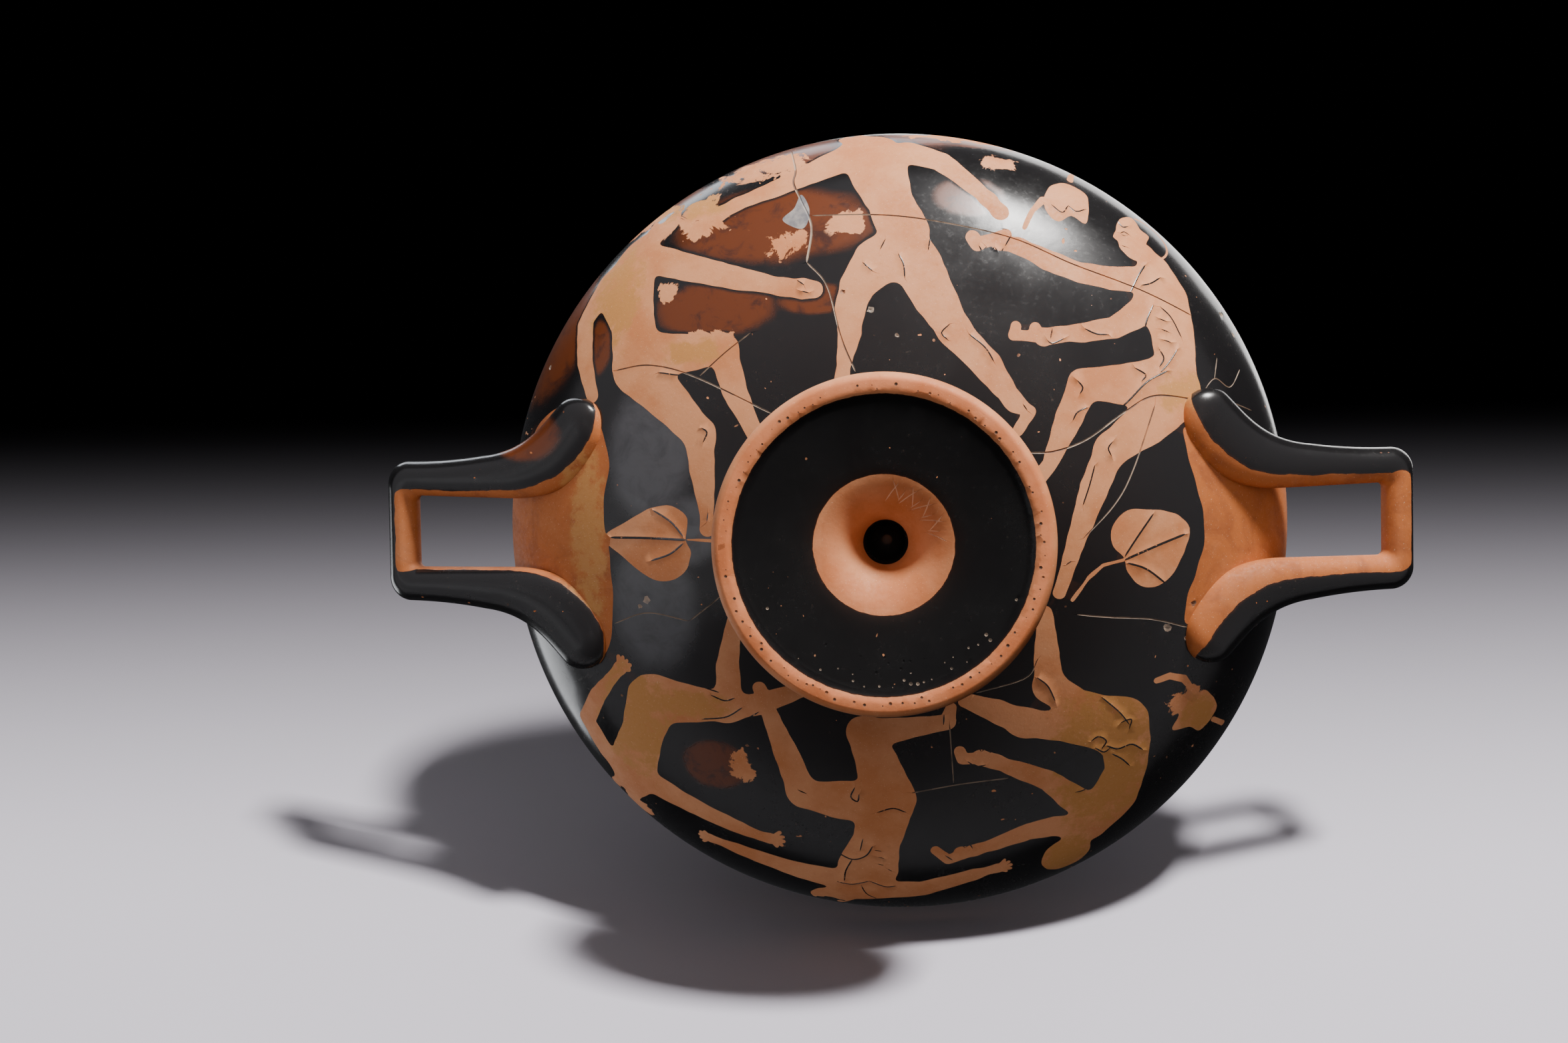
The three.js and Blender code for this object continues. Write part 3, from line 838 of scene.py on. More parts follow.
HANDLE_REACH = 157.3
HANDLE_HALF = 21.7
ARM_WIDTH = 10.7
BAR_WIDTH = 8.8
HANDLE_THICK = 10.0
OUTER_CORNER = 6.5
INNER_CORNER = 1.9
ROOT_Z = 62.5
BAR_Z = 88.0
STATIONS = np.array([0.0, 0.45, 0.68, 0.86, 1.0])
ROOT_CAP = 0.1
SPLAY = (126, HANDLE_HALF + 1.9)
HANDLE_STEPS = 240
HANDLE_SIDES = 40


def straight(t, a, b):
    """Points of a straight line at shares t."""
    return (1 - t)[:, None] * np.array(a) + t[:, None] * np.array(b)


def corner(t, middle, radius):
    """Quarter circle from straight up to straight right of its middle."""
    turn = (1 - t) * math.pi / 2
    return np.array(middle) + radius * np.stack([np.cos(turn), np.sin(turn)], 1)


def outlines(t):
    """Outer and inner edge of a handle in plan at shares t, from the root (0) to the middle of the
    bar (1): a splayed root, a straight arm, a rounded corner and half of the bar."""
    inside = HANDLE_HALF - ARM_WIDTH
    bar = HANDLE_REACH - BAR_WIDTH
    turn = HANDLE_REACH - OUTER_CORNER
    outer_runs = (
        lambda u: cubic(u, (95, 44), (104, 38.5), (107.5, 25.5), SPLAY),
        lambda u: cubic(u, SPLAY, (134, HANDLE_HALF + 0.63), (142.3, HANDLE_HALF), (turn, HANDLE_HALF)),
        lambda u: corner(u, (turn, HANDLE_HALF - OUTER_CORNER), OUTER_CORNER),
        lambda u: straight(u, (HANDLE_REACH, HANDLE_HALF - OUTER_CORNER), (HANDLE_REACH, 0)))
    inner_runs = (
        lambda u: cubic(u, (84.5, 35), (88, 21), (98, inside - 0.5), (116, inside - 0.5)),
        lambda u: straight(u, (116, inside - 0.5), (bar - INNER_CORNER, inside)),
        lambda u: corner(u, (bar - INNER_CORNER, inside - INNER_CORNER), INNER_CORNER),
        lambda u: straight(u, (bar, inside - INNER_CORNER), (bar, 0)))
    outer = np.zeros((len(t), 2))
    inner = np.zeros((len(t), 2))
    run = np.clip(np.searchsorted(STATIONS, t, side="right") - 1, 0, 3)
    for k in range(4):
        here = run == k
        local = (t[here] - STATIONS[k]) / (STATIONS[k + 1] - STATIONS[k])
        outer[here] = outer_runs[k](local)
        inner[here] = inner_runs[k](local)
    return outer, inner


def handle_height(x):
    """Height of the handle's middle surface, rising outwards."""
    share = (x - 88) / (HANDLE_REACH - BAR_WIDTH / 2 - 88)
    return ROOT_Z + (BAR_Z - ROOT_Z) * share * (0.85 + 0.15 * share)


def handle_grid(steps, sides):
    """An oval section carried along the handle: its middle lies halfway between the two outlines,
    its width reaches both, and its ends close over the root cap. Returns points on a grid of
    (steps - 1) rings by sides and the two pole points."""
    u = np.arange(1, steps) / steps
    angle = np.arange(sides) * 2 * math.pi / sides
    t = 1 - np.abs(1 - 2 * u)
    outer, inner = outlines(t)
    flip = np.where(u < 0.5, 1.0, -1.0)
    cap = np.sqrt(1 - (1 - np.minimum(1, t / ROOT_CAP)) ** 2)
    across = np.cos(angle)[None, :] * cap[:, None] / 2
    up = np.sin(angle)[None, :] * cap[:, None] * HANDLE_THICK / 2
    middle = (outer + inner) / 2
    span = outer - inner
    x = middle[:, :1] + across * span[:, :1]
    y = middle[:, 1:] + across * span[:, 1:]
    slope = handle_height(x + 0.5) - handle_height(x - 0.5)
    length = np.hypot(slope, 1)
    grid = np.stack([x - up * slope / length, flip[:, None] * y,
                     handle_height(x) + up / length], 2)
    start = np.array([89.75, 39.5, handle_height(89.75)])
    poles = np.array([start, start * (1, -1, 1)])
    return grid, poles


def tube_faces(rows, sides):
    """Triangles of a closed tube of rows by sides vertices whose two poles come after them."""
    i, j = np.meshgrid(np.arange(rows - 1), np.arange(sides), indexing="ij")
    a, b = i * sides + j, i * sides + (j + 1) % sides
    quads = np.concatenate([np.stack([a, b, a + sides], 2).reshape(-1, 3),
                            np.stack([b, b + sides, a + sides], 2).reshape(-1, 3)])
    j = np.arange(sides)
    nxt = (j + 1) % sides
    first = np.stack([np.full(sides, rows * sides), nxt, j], 1)
    base = (rows - 1) * sides
    last = np.stack([np.full(sides, rows * sides + 1), base + j, base + nxt], 1)
    return np.vstack([quads, first, last])


def handle_solid(sign):
    grid, poles = handle_grid(HANDLE_STEPS, HANDLE_SIDES)
    points = np.vstack([grid.reshape(-1, 3), poles])
    if sign < 0:
        points = points * (-1, -1, 1)
    return points, tube_faces(HANDLE_STEPS - 1, HANDLE_SIDES)


# ---------------------------------------------------------------- meshes

def outward(points, faces):
    """Faces turned so that the enclosed volume is positive."""
    a, b, c = (points[faces[:, k]] for k in range(3))
    volume = np.einsum("ij,ij->i", a, np.cross(b, c)).sum()
    return faces if volume > 0 else faces[:, ::-1]


def make_mesh(name, points, faces):
    """A triangle mesh in metres from points in millimetres."""
    mesh = bpy.data.meshes.new(name)
    mesh.vertices.add(len(points))
    mesh.vertices.foreach_set("co", (np.asarray(points) * MM).astype(np.float32).ravel())
    mesh.loops.add(len(faces) * 3)
    mesh.loops.foreach_set("vertex_index", np.asarray(faces, np.int32).ravel())
    mesh.polygons.add(len(faces))
    mesh.polygons.foreach_set("loop_start", np.arange(0, len(faces) * 3, 3, dtype=np.int32))
    mesh.update(calc_edges=True)
    mesh.validate()
    return mesh


def make_object(name, points, faces):
    """An object of a closed surface, its faces turned outwards."""
    piece = bpy.data.objects.new(name, make_mesh(name, points, outward(points, faces)))
    bpy.context.scene.collection.objects.link(piece)
    return piece


def combine(target, other, operation):
    """Joins or cuts target by other and deletes other."""
    modifier = target.modifiers.new("combine", "BOOLEAN")
    modifier.operation = operation
    modifier.solver = "MANIFOLD"
    modifier.object = other
    depsgraph = bpy.context.evaluated_depsgraph_get()
    mesh = bpy.data.meshes.new_from_object(target.evaluated_get(depsgraph))
    target.modifiers.clear()
    old = target.data
    target.data = mesh
    bpy.data.meshes.remove(old)
    bpy.data.meshes.remove(other.data)


def mesh_arrays(mesh):
    """Points (mm) and triangles of a mesh."""
    points = np.empty(len(mesh.vertices) * 3, np.float32)
    mesh.vertices.foreach_get("co", points)
    mesh.calc_loop_triangles()
    faces = np.empty(len(mesh.loop_triangles) * 3, np.int32)
    mesh.loop_triangles.foreach_get("vertices", faces)
    return points.reshape(-1, 3).astype(float) / MM, faces.reshape(-1, 3)


def cup_skin(marks_on_wall, marks_below):
    """The turned body: bore, underside, foot, stem, wall, lip and inside, as one closed skin."""
    skin = Skin()
    bore = bore_profile()
    skin.pole(bore[0, 1])
    skin.rings(bore[1:-1], 60)
    flat, faces, inner, outer = banded_chart(UNDER, 120, 360, 1.5, marks_below)
    skin.sheet(UNDER.raised(flat), faces, inner, outer)
    skin.rings(foot_edge_profile()[1:-1], 360)
    stem = stem_profile()
    skin.rings(stem[:34], 240)
    skin.rings(stem[34:-1], 180)
    flat, faces, inner, outer = banded_chart(WALL, 180, 480, 1.6, marks_on_wall)
    skin.sheet(WALL.raised(flat), faces, inner, outer)
    skin.rings(lip_profile()[1:], 360)
    inside = inside_profile()
    skin.rings(inside[1:40:2], 240)
    skin.rings(inside[40:-2:2], 160)
    skin.pole(FLOOR_Z)
    return skin.result()


def bowl_space():
    """The room inside the bowl, to trim the handles' roots flush with the inner wall."""
    skin = Skin()
    skin.pole(HEIGHT + 5)
    skin.ring(RIM_RADIUS - LIP_WALL, HEIGHT + 5, 240)
    skin.rings(inside_profile()[:-2:2], 240)
    skin.pole(FLOOR_Z)
    return skin.result()


# Section angle where the black glaze ends on each handle, from straight down (0) towards the loop
# (90): on the arm at +Y, the bar and the arm at -Y.
GLAZE_ENDS = {1: (4.0, -33.0, 23.0), -1: (60.0, -4.0, 38.0)}
GLAZE_BEGINS = 168.0


def handle_bare(sign):
    """How far each handle vertex lies inside the bare clay of the loop's face, in millimetres."""
    u = np.arange(1, HANDLE_STEPS) / HANDLE_STEPS
    angle = np.arange(HANDLE_SIDES) * 2 * math.pi / HANDLE_SIDES
    t = 1 - np.abs(1 - 2 * u)
    from_down = np.degrees(np.arctan2(-np.cos(angle), -np.sin(angle)))
    from_down = np.where(from_down < -90, from_down + 360, from_down)
    at_plus, bar, at_minus = GLAZE_ENDS[sign]
    arm = np.where((u < 0.5) == (sign > 0), at_plus, at_minus)
    end = arm + (bar - arm) * np.clip((t - 0.72) / 0.16, 0, 1)
    inside = np.minimum(from_down[None, :] - end[:, None], GLAZE_BEGINS - from_down[None, :])
    bare = np.radians(inside) * HANDLE_THICK / 2
    return np.r_[bare.ravel(), 1.0, 1.0]


def build_body(marks_on_wall, marks_below):
    """The turned cup and both handles as one closed surface; handle vertices carry how far they lie
    in bare clay, and a 1 that tells them from the rest."""
    cup = make_object("kylix_cup", *cup_skin(marks_on_wall, marks_below))
    for sign in (1, -1):
        handle = make_object("handle_raw", *handle_solid(sign))
        bare = handle_bare(sign)
        section = np.stack([bare, np.zeros(len(bare)), np.ones(len(bare))], 1).astype(np.float32)
        layer = handle.data.attributes.new("section", "FLOAT_VECTOR", "POINT")
        layer.data.foreach_set("vector", section.ravel())
        space = make_object("space_raw", *bowl_space())
        combine(handle, space, "DIFFERENCE")
        combine(cup, handle, "UNION")
    return cup


# ---------------------------------------------------------------- paint and relief on the mesh

INK_RISE = 0.11
CRACK_DEPTH = 0.28
CHIP_DEPTH = 0.55
STROKE_DEPTH = 0.16
EDGE_STEP = 0.3
FUNNEL_TOP = 12.0
SHARP_ANGLE = 32.0


def profile_place(chart, points, key, tolerance=0.04):
    """For points near a chart's profile: which lie on it, their chart points and outward normals.
    key is the profile column (0 radius, 1 height) that grows all along it."""
    r = np.hypot(points[:, 0], points[:, 1])
    measured = np.stack([r, points[:, 2]], 1)
    s = np.interp(measured[:, key], chart.profile[:, key], chart.s)
    radius, height = chart.radius_height(s)
    on = np.hypot(r - radius, points[:, 2] - height) < tolerance
    on &= (measured[:, key] >= chart.profile[0, key]) & (measured[:, key] <= chart.profile[-1, key])
    way = np.gradient(chart.profile, axis=0)
    way /= np.hypot(*way.T)[:, None]
    out_r = np.interp(s, chart.s, way[:, 1])
    out_z = -np.interp(s, chart.s, way[:, 0])
    aim = points[:, :2] / np.maximum(r, 1e-6)[:, None]
    return on, aim * s[:, None], np.column_stack([aim * out_r[:, None], out_z])


def relief(points, on_wall, flat, wall_normal, on_under, under_normal):
    """Moves the mesh: glaze lines stand up, cracks, chips, pits and scratches go in."""
    p = flat[on_wall]
    rise = np.zeros(len(points))
    rise[on_wall] = INK_RISE * np.clip(1 - ribbon_share(p, INK) ** 2, 0, 1) * (painting(p) < 0)
    rise[on_wall] -= CRACK_DEPTH * np.clip(1 - ribbon_share(p, CRACKS) ** 2, 0, 1)
    for cx, cy, radius in CHIPS:
        gap = np.hypot(p[:, 0] - cx, p[:, 1] - cy) / radius
        rise[on_wall] -= CHIP_DEPTH * np.clip(1 - (gap / 0.7) ** 2, 0, 1)
    points = points + rise[:, None] * wall_normal
    plan = points[on_under, :2]
    depth = np.zeros(len(points))
    for middle, size, deep in zip(*ring_pits()):
        gap = np.hypot(*(plan - middle).T) / size
        depth[on_under] += deep * np.clip(1 - (gap / 0.8) ** 2, 0, 1)
    depth[on_under] += STROKE_DEPTH * np.clip(1 - ribbon_share(plan, funnel_strokes()) ** 2, 0, 1)
    return points - depth[:, None] * under_normal


def bare_off_wall(points):
    """How far the bare clay's edge is, away from the painted wall: the funnel, the standing ring and
    the foot's edge are bare, with thin bare lines on the lip and inside the bowl. Higher up, the
    funnel and the bore are glazed black, as painted shade for the dark hole."""
    r = np.hypot(points[:, 0], points[:, 1])
    z = points[:, 2]
    below = np.maximum(RESERVED_FUNNEL - r, r - RESERVED_RING)
    edge = FOOT_EDGE_BARE - z
    foot = np.where(r > RING_OUTER - 0.6, edge, below)
    # Higher up, the funnel and the bore turn to black glaze: painted shade for the dark hole.
    foot = np.where(z < FOOT_EDGE + 0.5, foot, BORE_PAINTED_SHADE_Z - z)
    inside = np.maximum(0.45 - np.abs(r - 49), 0.35 - np.abs(r - 51))
    lip = 0.55 - np.hypot(r - (RIM_RADIUS - 0.9), z - HEIGHT)
    bowl = np.where(z > HEIGHT - 3, lip, inside)
    stem_side = r > WAIST_RADIUS - 0.3 + 3 * np.maximum(10 - z, 0)
    on_stem = (z > FOOT_EDGE + 0.4) & (z < SHOULDER[1] + 0.1) & stem_side
    result = np.where(z > SHOULDER[1] + 0.05, bowl, foot)
    return np.where(on_stem, -FAR, result)


def write_colors(mesh, name, domain, values):
    """Stores four numbers per corner or point for the material to read."""
    layer = mesh.attributes.new(name, "FLOAT_COLOR", domain)
    layer.data.foreach_set("color", values.astype(np.float32).ravel())


def bare_corners(points, faces, on_wall, flat, face_on_wall, flat_face, section):
    """How deep each corner of each face lies in bare clay (mm). On the painted wall a face is bare or
    glazed as a whole, and its corners stay EDGE_STEP clear of the change."""
    bare = bare_off_wall(points)[faces]
    depth = np.zeros(len(points))
    depth[on_wall] = np.abs(painting(flat[on_wall]))
    side = np.where(painting(flat_face[face_on_wall]) < 0, 1.0, -1.0)
    bare[face_on_wall] = side[:, None] * (depth[faces[face_on_wall]] + EDGE_STEP)
    on_handle = section[:, 2] > 0.5
    handle_value = np.where(on_handle, section[:, 0], 1.2)
    face_on_handle = on_handle[faces].any(1)
    bare[face_on_handle] = handle_value[faces[face_on_handle]]
    return bare


def face_damage(middle, face_on_wall, p):
    """Per face: 1 in a crack, less in a chip or a pit, and -1 in a scratch of the funnel."""
    crack = np.zeros(len(middle))
    chip = np.zeros(len(p), bool)
    for cx, cy, radius in CHIPS:
        chip |= np.hypot(p[:, 0] - cx, p[:, 1] - cy) < 0.82 * radius
    crack[face_on_wall] = np.maximum(ribbon_share(p, CRACKS) < 1, 0.6 * chip)
    crack[(ribbon_share(middle[:, :2], funnel_strokes()) < 1) & (middle[:, 2] < FUNNEL_TOP)] = -1.0
    low = np.nonzero(middle[:, 2] < RECESS + 0.5)[0]
    pits = np.zeros(len(low), bool)
    for place, size, _ in zip(*ring_pits()):
        pits |= np.hypot(*(middle[low, :2] - place).T) < size
    crack[low[pits]] = 0.45
    return crack


def vertex_wear(points, on_wall, on_handle, flat):
    """Per vertex: how far misfired, flaked, worn and stained, outside the bowl."""
    on_lip = points[:, 2] > HEIGHT - 1.3
    spread = points[:, :2] * (1.0 + 0.18 * on_lip[:, None])
    place = np.where(on_wall[:, None], flat, spread)
    outer = on_wall | on_handle | on_lip
    wear = np.zeros((len(points), 4))
    for k, places in enumerate((MISFIRED, FLAKED, MATT, STAINED)):
        wear[outer, k] = spots(place[outer], places)
    return wear


def finish_surface(cup):
    """Reads where each vertex lies, moves the relief, and writes the paint: per corner how deep it lies
    in bare clay (mm), line, crack and orange wash; per vertex misfire, flaking, wear and stain."""
    points, faces = mesh_arrays(cup.data)
    section = np.empty(len(points) * 3, np.float32)
    cup.data.attributes["section"].data.foreach_get("vector", section)
    section = section.reshape(-1, 3)
    on_handle = section[:, 2] > 0.5
    on_wall, flat, wall_normal = profile_place(WALL, points, 1)
    on_wall &= ~on_handle & (points[:, 2] > SHOULDER[1])
    on_under, _, under_normal = profile_place(UNDER, points, 0)
    on_under &= ~on_handle & (points[:, 2] < BORE_TOP)
    middle = points[faces].mean(1)
    _, flat_face, _ = profile_place(WALL, middle, 1)
    face_on_wall = on_wall[faces].all(1)
    p = flat_face[face_on_wall]

    ink, mend, wash = np.zeros((3, len(faces)))
    ink[face_on_wall] = ribbon_share(p, INK) < 1
    mend[face_on_wall] = patch(p, REPAIR, 0.8) < 0
    wash[face_on_wall] = np.minimum(patch(p, PANELS[0]), patch(p, PANELS[1])) < 0.5
    wash[on_handle[faces].any(1)] = 1.0
    crack = face_damage(middle, face_on_wall, p)
    bare = bare_corners(points, faces, on_wall, flat, face_on_wall, flat_face, section)
    whole = [np.repeat(value[:, None], 3, 1) for value in (ink, crack, wash)]

    old = cup.data
    cup.data = make_mesh("kylix_cup", relief(points, on_wall, flat, wall_normal, on_under,
                                             under_normal), faces)
    bpy.data.meshes.remove(old)
    write_colors(cup.data, "paint", "CORNER", np.stack([bare, *whole], 2))
    write_colors(cup.data, "mended", "CORNER", np.repeat(mend, 3)[:, None] * np.ones(4))
    write_colors(cup.data, "wear", "POINT", vertex_wear(points, on_wall, on_handle, flat))
    cup.data.polygons.foreach_set("use_smooth", np.ones(len(faces), bool))
    cup.data.set_sharp_from_angle(angle=math.radians(SHARP_ANGLE))


# ---------------------------------------------------------------- stage

CAMERA_PLACE = Vector((0.0488, -0.0794, -1.0498))
CAMERA_AIM = Vector((-0.0352, -0.0008, 0.095))
CAMERA_TOP = Vector((0.013, -0.9975, 0.0694))
FLOOR_AWAY = Vector((0.0, -0.3807, 0.9247))
FLOOR_KEY_PLACE = (0.656, -1.639, -0.934)
FLOOR_KEY_SIZE = (0.22, 0.22)
FLOOR_KEY_SHARE = 3.0
FLOOR_HALF = 4.0
STUDIO_HALF_WIDTH = 5.0
STUDIO_LENGTH = 6.0
LENS = 85.0
LIGHTS_AIM = Vector((0.0, 0.0, 0.05))

# Lights on the cup and its floor: name, place, size, share of the fill power (the key has its own
# power) and colour.
CUP_LIGHTS = [
    ("key", (0.44, -1.12, -0.28), (0.26, 0.20), 1.0, (1.0, 0.97, 0.94)),
    ("left_fill", (-0.95, 0.10, -0.72), (0.25, 0.25), 0.35, (0.95, 0.97, 1.0)),
    ("front_fill", (0.15, -0.45, -1.5), (0.8, 0.8), 1.0, (1.0, 0.98, 0.96)),
    ("back_rim", (-0.35, -0.75, 0.75), (0.9, 0.35), 0.9, (0.9, 0.94, 1.0)),
    ("overhead", (0.5, -0.6, 1.5), (1.2, 1.0), 2.6, (1.0, 0.98, 0.96)),
    ("side", (-1.5, 0.5, 0.8), (0.8, 0.8), 1.6, (0.95, 0.97, 1.0))]


def looking(place, aim, top):
    """Matrix of a camera or light at place that looks at aim, with top pointing up the frame."""
    back = (place - aim).normalized()
    right = top.cross(back).normalized()
    up = back.cross(right)
    matrix = Matrix((right, up, back)).transposed().to_4x4()
    matrix.translation = place
    return matrix


def add_camera():
    """The low view: the cup seen from beneath its foot."""
    data = bpy.data.cameras.new("camera")
    data.lens = LENS
    data.sensor_width = 36.0
    camera = bpy.data.objects.new("camera", data)
    camera.matrix_world = looking(CAMERA_PLACE, CAMERA_AIM, CAMERA_TOP)
    bpy.context.scene.collection.objects.link(camera)
    bpy.context.scene.camera = camera


def add_light(name, place, size, power, color, receivers):
    """A soft rectangular light aimed at the cup that lights only the receivers' collection."""
    data = bpy.data.lights.new(name, "AREA")
    data.shape = "RECTANGLE"
    data.size, data.size_y = size
    data.energy = power
    data.color = color
    light = bpy.data.objects.new(name, data)
    light.matrix_world = looking(Vector(place), LIGHTS_AIM, Vector((0.1, 0.2, 1.0)))
    bpy.context.scene.collection.objects.link(light)
    light.light_linking.receiver_collection = receivers


def plane(name, corners):
    """A flat piece of the stage."""
    mesh = bpy.data.meshes.new(name)
    mesh.from_pydata([Vector(c) for c in corners], [], [(0, 1, 2, 3)])
    mesh.update()
    floor = bpy.data.objects.new(name, mesh)
    bpy.context.scene.collection.objects.link(floor)
    return floor


# ---------------------------------------------------------------- node helpers

class Graph:
    """Adds nodes to a node tree, linking sockets and setting plain values alike."""

    def __init__(self, tree):
        self.tree = tree

    def node(self, kind, inputs=(), **settings):
        made = self.tree.nodes.new(kind)
        for name, value in settings.items():
            setattr(made, name, value)
        for name, value in dict(inputs).items():
            self.feed(made.inputs[name], value)
        return made

    def feed(self, socket, value):
        if isinstance(value, bpy.types.NodeSocket):
            self.tree.links.new(value, socket)
        else:
            socket.default_value = value

    def math(self, operation, a, b=0.0, clamp=False):
        made = self.node("ShaderNodeMath", {0: a, 1: b}, operation=operation, use_clamp=clamp)
        return made.outputs[0]

    def mix(self, share, a, b):
        made = self.node("ShaderNodeMix", data_type="RGBA")
        for socket, value in ((made.inputs[0], share), (made.inputs[6], a), (made.inputs[7], b)):
            self.feed(socket, value)
        return made.outputs[2]

    def blend(self, share, a, b):
        """A number that goes from a to b."""
        made = self.node("ShaderNodeMix", data_type="FLOAT")
        for socket, value in ((made.inputs[0], share), (made.inputs[2], a), (made.inputs[3], b)):
            self.feed(socket, value)
        return made.outputs[0]

    def ramp(self, value, low, high, to_low=0.0, to_high=1.0):
        """Smooth change from to_low to to_high as value goes from low to high."""
        made = self.node("ShaderNodeMapRange", {0: value, 1: low, 2: high, 3: to_low, 4: to_high},
                         interpolation_type="SMOOTHSTEP")
        return made.outputs[0]

    def noise(self, vector, scale, detail=3.0, rough=0.55, warp=0.0):
        made = self.node("ShaderNodeTexNoise", {"Vector": vector, "Scale": scale, "Detail": detail,
                                                "Roughness": rough, "Distortion": warp})
        return made.outputs["Fac"]


def new_group(name, inputs, outputs):
    """An empty node group with named sockets; returns its tree, graph, inlet and outlet."""
    tree = bpy.data.node_groups.new(name, "ShaderNodeTree")
    for label, kind, value in inputs:
        socket = tree.interface.new_socket(label, in_out="INPUT", socket_type=kind)
        if value is not None:
            socket.default_value = value
    for label, kind in outputs:
        tree.interface.new_socket(label, in_out="OUTPUT", socket_type=kind)
    graph = Graph(tree)
    return tree, graph, graph.node("NodeGroupInput").outputs, graph.node("NodeGroupOutput").inputs


FLOAT = "NodeSocketFloat"
COLOR = "NodeSocketColor"
VECTOR = "NodeSocketVector"


def clay_group():
    """Bare fired clay: soft mottling, fine grit, an orange wash and ochre stains."""
    tree, g, inlet, outlet = new_group(
        "bare_clay",
        [("Vector", VECTOR, None), ("Clay", COLOR, None), ("Wash Color", COLOR, None),
         ("Stain Color", COLOR, None), ("Wash", FLOAT, 0.0), ("Stain", FLOAT, 0.0)],
        [("Color", COLOR), ("Roughness", FLOAT), ("Height", FLOAT)])
    at = inlet["Vector"]
    cloud = g.noise(at, 55, 4, 0.6)
    grain = g.noise(at, 900, 2, 0.6)
    speck = g.noise(at, 2300, 1, 0.5)
    pale = g.mix(0.12, inlet["Clay"], (0.95, 0.72, 0.48, 1))
    deep = g.mix(0.28, inlet["Clay"], (0.36, 0.12, 0.04, 1))
    color = g.mix(g.ramp(cloud, 0.35, 0.68), pale, deep)
    wash_deep = g.mix(0.55, inlet["Wash Color"], (0.20, 0.045, 0.010, 1))
    washed = g.mix(g.ramp(g.noise(at, 85, 5, 0.65, 0.8), 0.42, 0.72), inlet["Wash Color"], wash_deep)
    color = g.mix(g.math("MULTIPLY", inlet["Wash"], g.ramp(cloud, 0.25, 0.5, 0.72, 0.95)), color, washed)
    blotch = g.ramp(g.math("ADD", g.noise(at, 210, 5, 0.7), g.math("MULTIPLY", inlet["Stain"], 0.4)),
                    0.62, 0.86)
    color = g.mix(g.math("MULTIPLY", blotch, g.ramp(inlet["Stain"], 0.05, 0.6)), color,
                  inlet["Stain Color"])
    color = g.mix(g.ramp(grain, 0.62, 0.78, 0, 0.22), color, (0.30, 0.12, 0.06, 1))
    color = g.mix(g.ramp(speck, 0.66, 0.8, 0, 0.35), color, (0.86, 0.62, 0.42, 1))
    g.feed(outlet["Color"], color)
    g.feed(outlet["Roughness"], g.ramp(grain, 0.3, 0.7, 0.62, 0.78))
    g.feed(outlet["Height"], g.math("ADD", g.math("MULTIPLY", grain, 0.7),
                                    g.math("MULTIPLY", cloud, 1.2)))
    return tree


def glaze_group():
    """Black glaze: brown where it misfired, flaked to the clay, greyed where it is worn. Inside is how
    far (mm) a place lies from bare clay; the painter's first outline stays black."""
    tree, g, inlet, outlet = new_group(
        "black_glaze",
        [("Vector", VECTOR, None), ("Glaze", COLOR, None), ("Misfire Color", COLOR, None),
         ("Inside", FLOAT, 3.0), ("Misfire", FLOAT, 0.0), ("Wear", FLOAT, 0.0), ("Flake", FLOAT, 0.0)],
        [("Color", COLOR), ("Roughness", FLOAT), ("Height", FLOAT), ("Flaked", FLOAT)])
    at = inlet["Vector"]
    cloud = g.noise(at, 38, 5, 0.6, 0.4)
    patchy = g.noise(at, 120, 6, 0.68, 0.6)
    fine = g.noise(at, 700, 3, 0.6)
    brown_share = g.ramp(g.math("ADD", g.math("MULTIPLY", inlet["Misfire"], 0.9),
                                g.math("MULTIPLY", cloud, 0.5)), 0.55, 0.86)
    outline = g.ramp(g.math("ADD", inlet["Inside"], g.math("MULTIPLY", patchy, 0.9)), 0.9, 2.3)
    brown_share = g.math("MULTIPLY", brown_share, outline)
    dark_spots = g.ramp(patchy, 0.5, 0.68)
    brown = g.mix(dark_spots, inlet["Misfire Color"], (0.045, 0.012, 0.006, 1))
    color = g.mix(brown_share, inlet["Glaze"], brown)
    worn = g.math("MULTIPLY", g.ramp(inlet["Wear"], 0.15, 0.75), g.ramp(patchy, 0.28, 0.6, 0.55, 1.0))
    color = g.mix(worn, color, (0.062, 0.062, 0.068, 1))
    scuff = g.math("MULTIPLY", g.ramp(fine, 0.66, 0.74), g.ramp(cloud, 0.5, 0.62))
    color = g.mix(g.math("MULTIPLY", scuff, 0.22), color, (0.20, 0.13, 0.09, 1))
    flaked = g.ramp(g.math("ADD", g.math("MULTIPLY", inlet["Flake"], 0.33), patchy), 0.70, 0.725)
    flaked = g.math("MULTIPLY", flaked, g.ramp(inlet["Flake"], 0.08, 0.3))
    pin = g.ramp(g.noise(at, 620, 0, 0.5), 0.835, 0.85)
    flaked = g.math("MAXIMUM", flaked, g.math("MULTIPLY", pin, g.ramp(cloud, 0.48, 0.56)))
    g.feed(outlet["Color"], color)
    rough = g.ramp(cloud, 0.3, 0.7, 0.17, 0.27)
    rough = g.blend(worn, rough, 0.44)
    rough = g.blend(g.math("MULTIPLY", brown_share, 0.8), rough, 0.34)
    g.feed(outlet["Roughness"], g.math("ADD", rough, g.ramp(fine, 0.5, 0.8, 0.0, 0.07)))
    g.feed(outlet["Height"], g.math("ADD", g.math("MULTIPLY", cloud, 1.6),
                                    g.math("MULTIPLY", patchy, 0.25)))
    g.feed(outlet["Flaked"], flaked)
    return tree


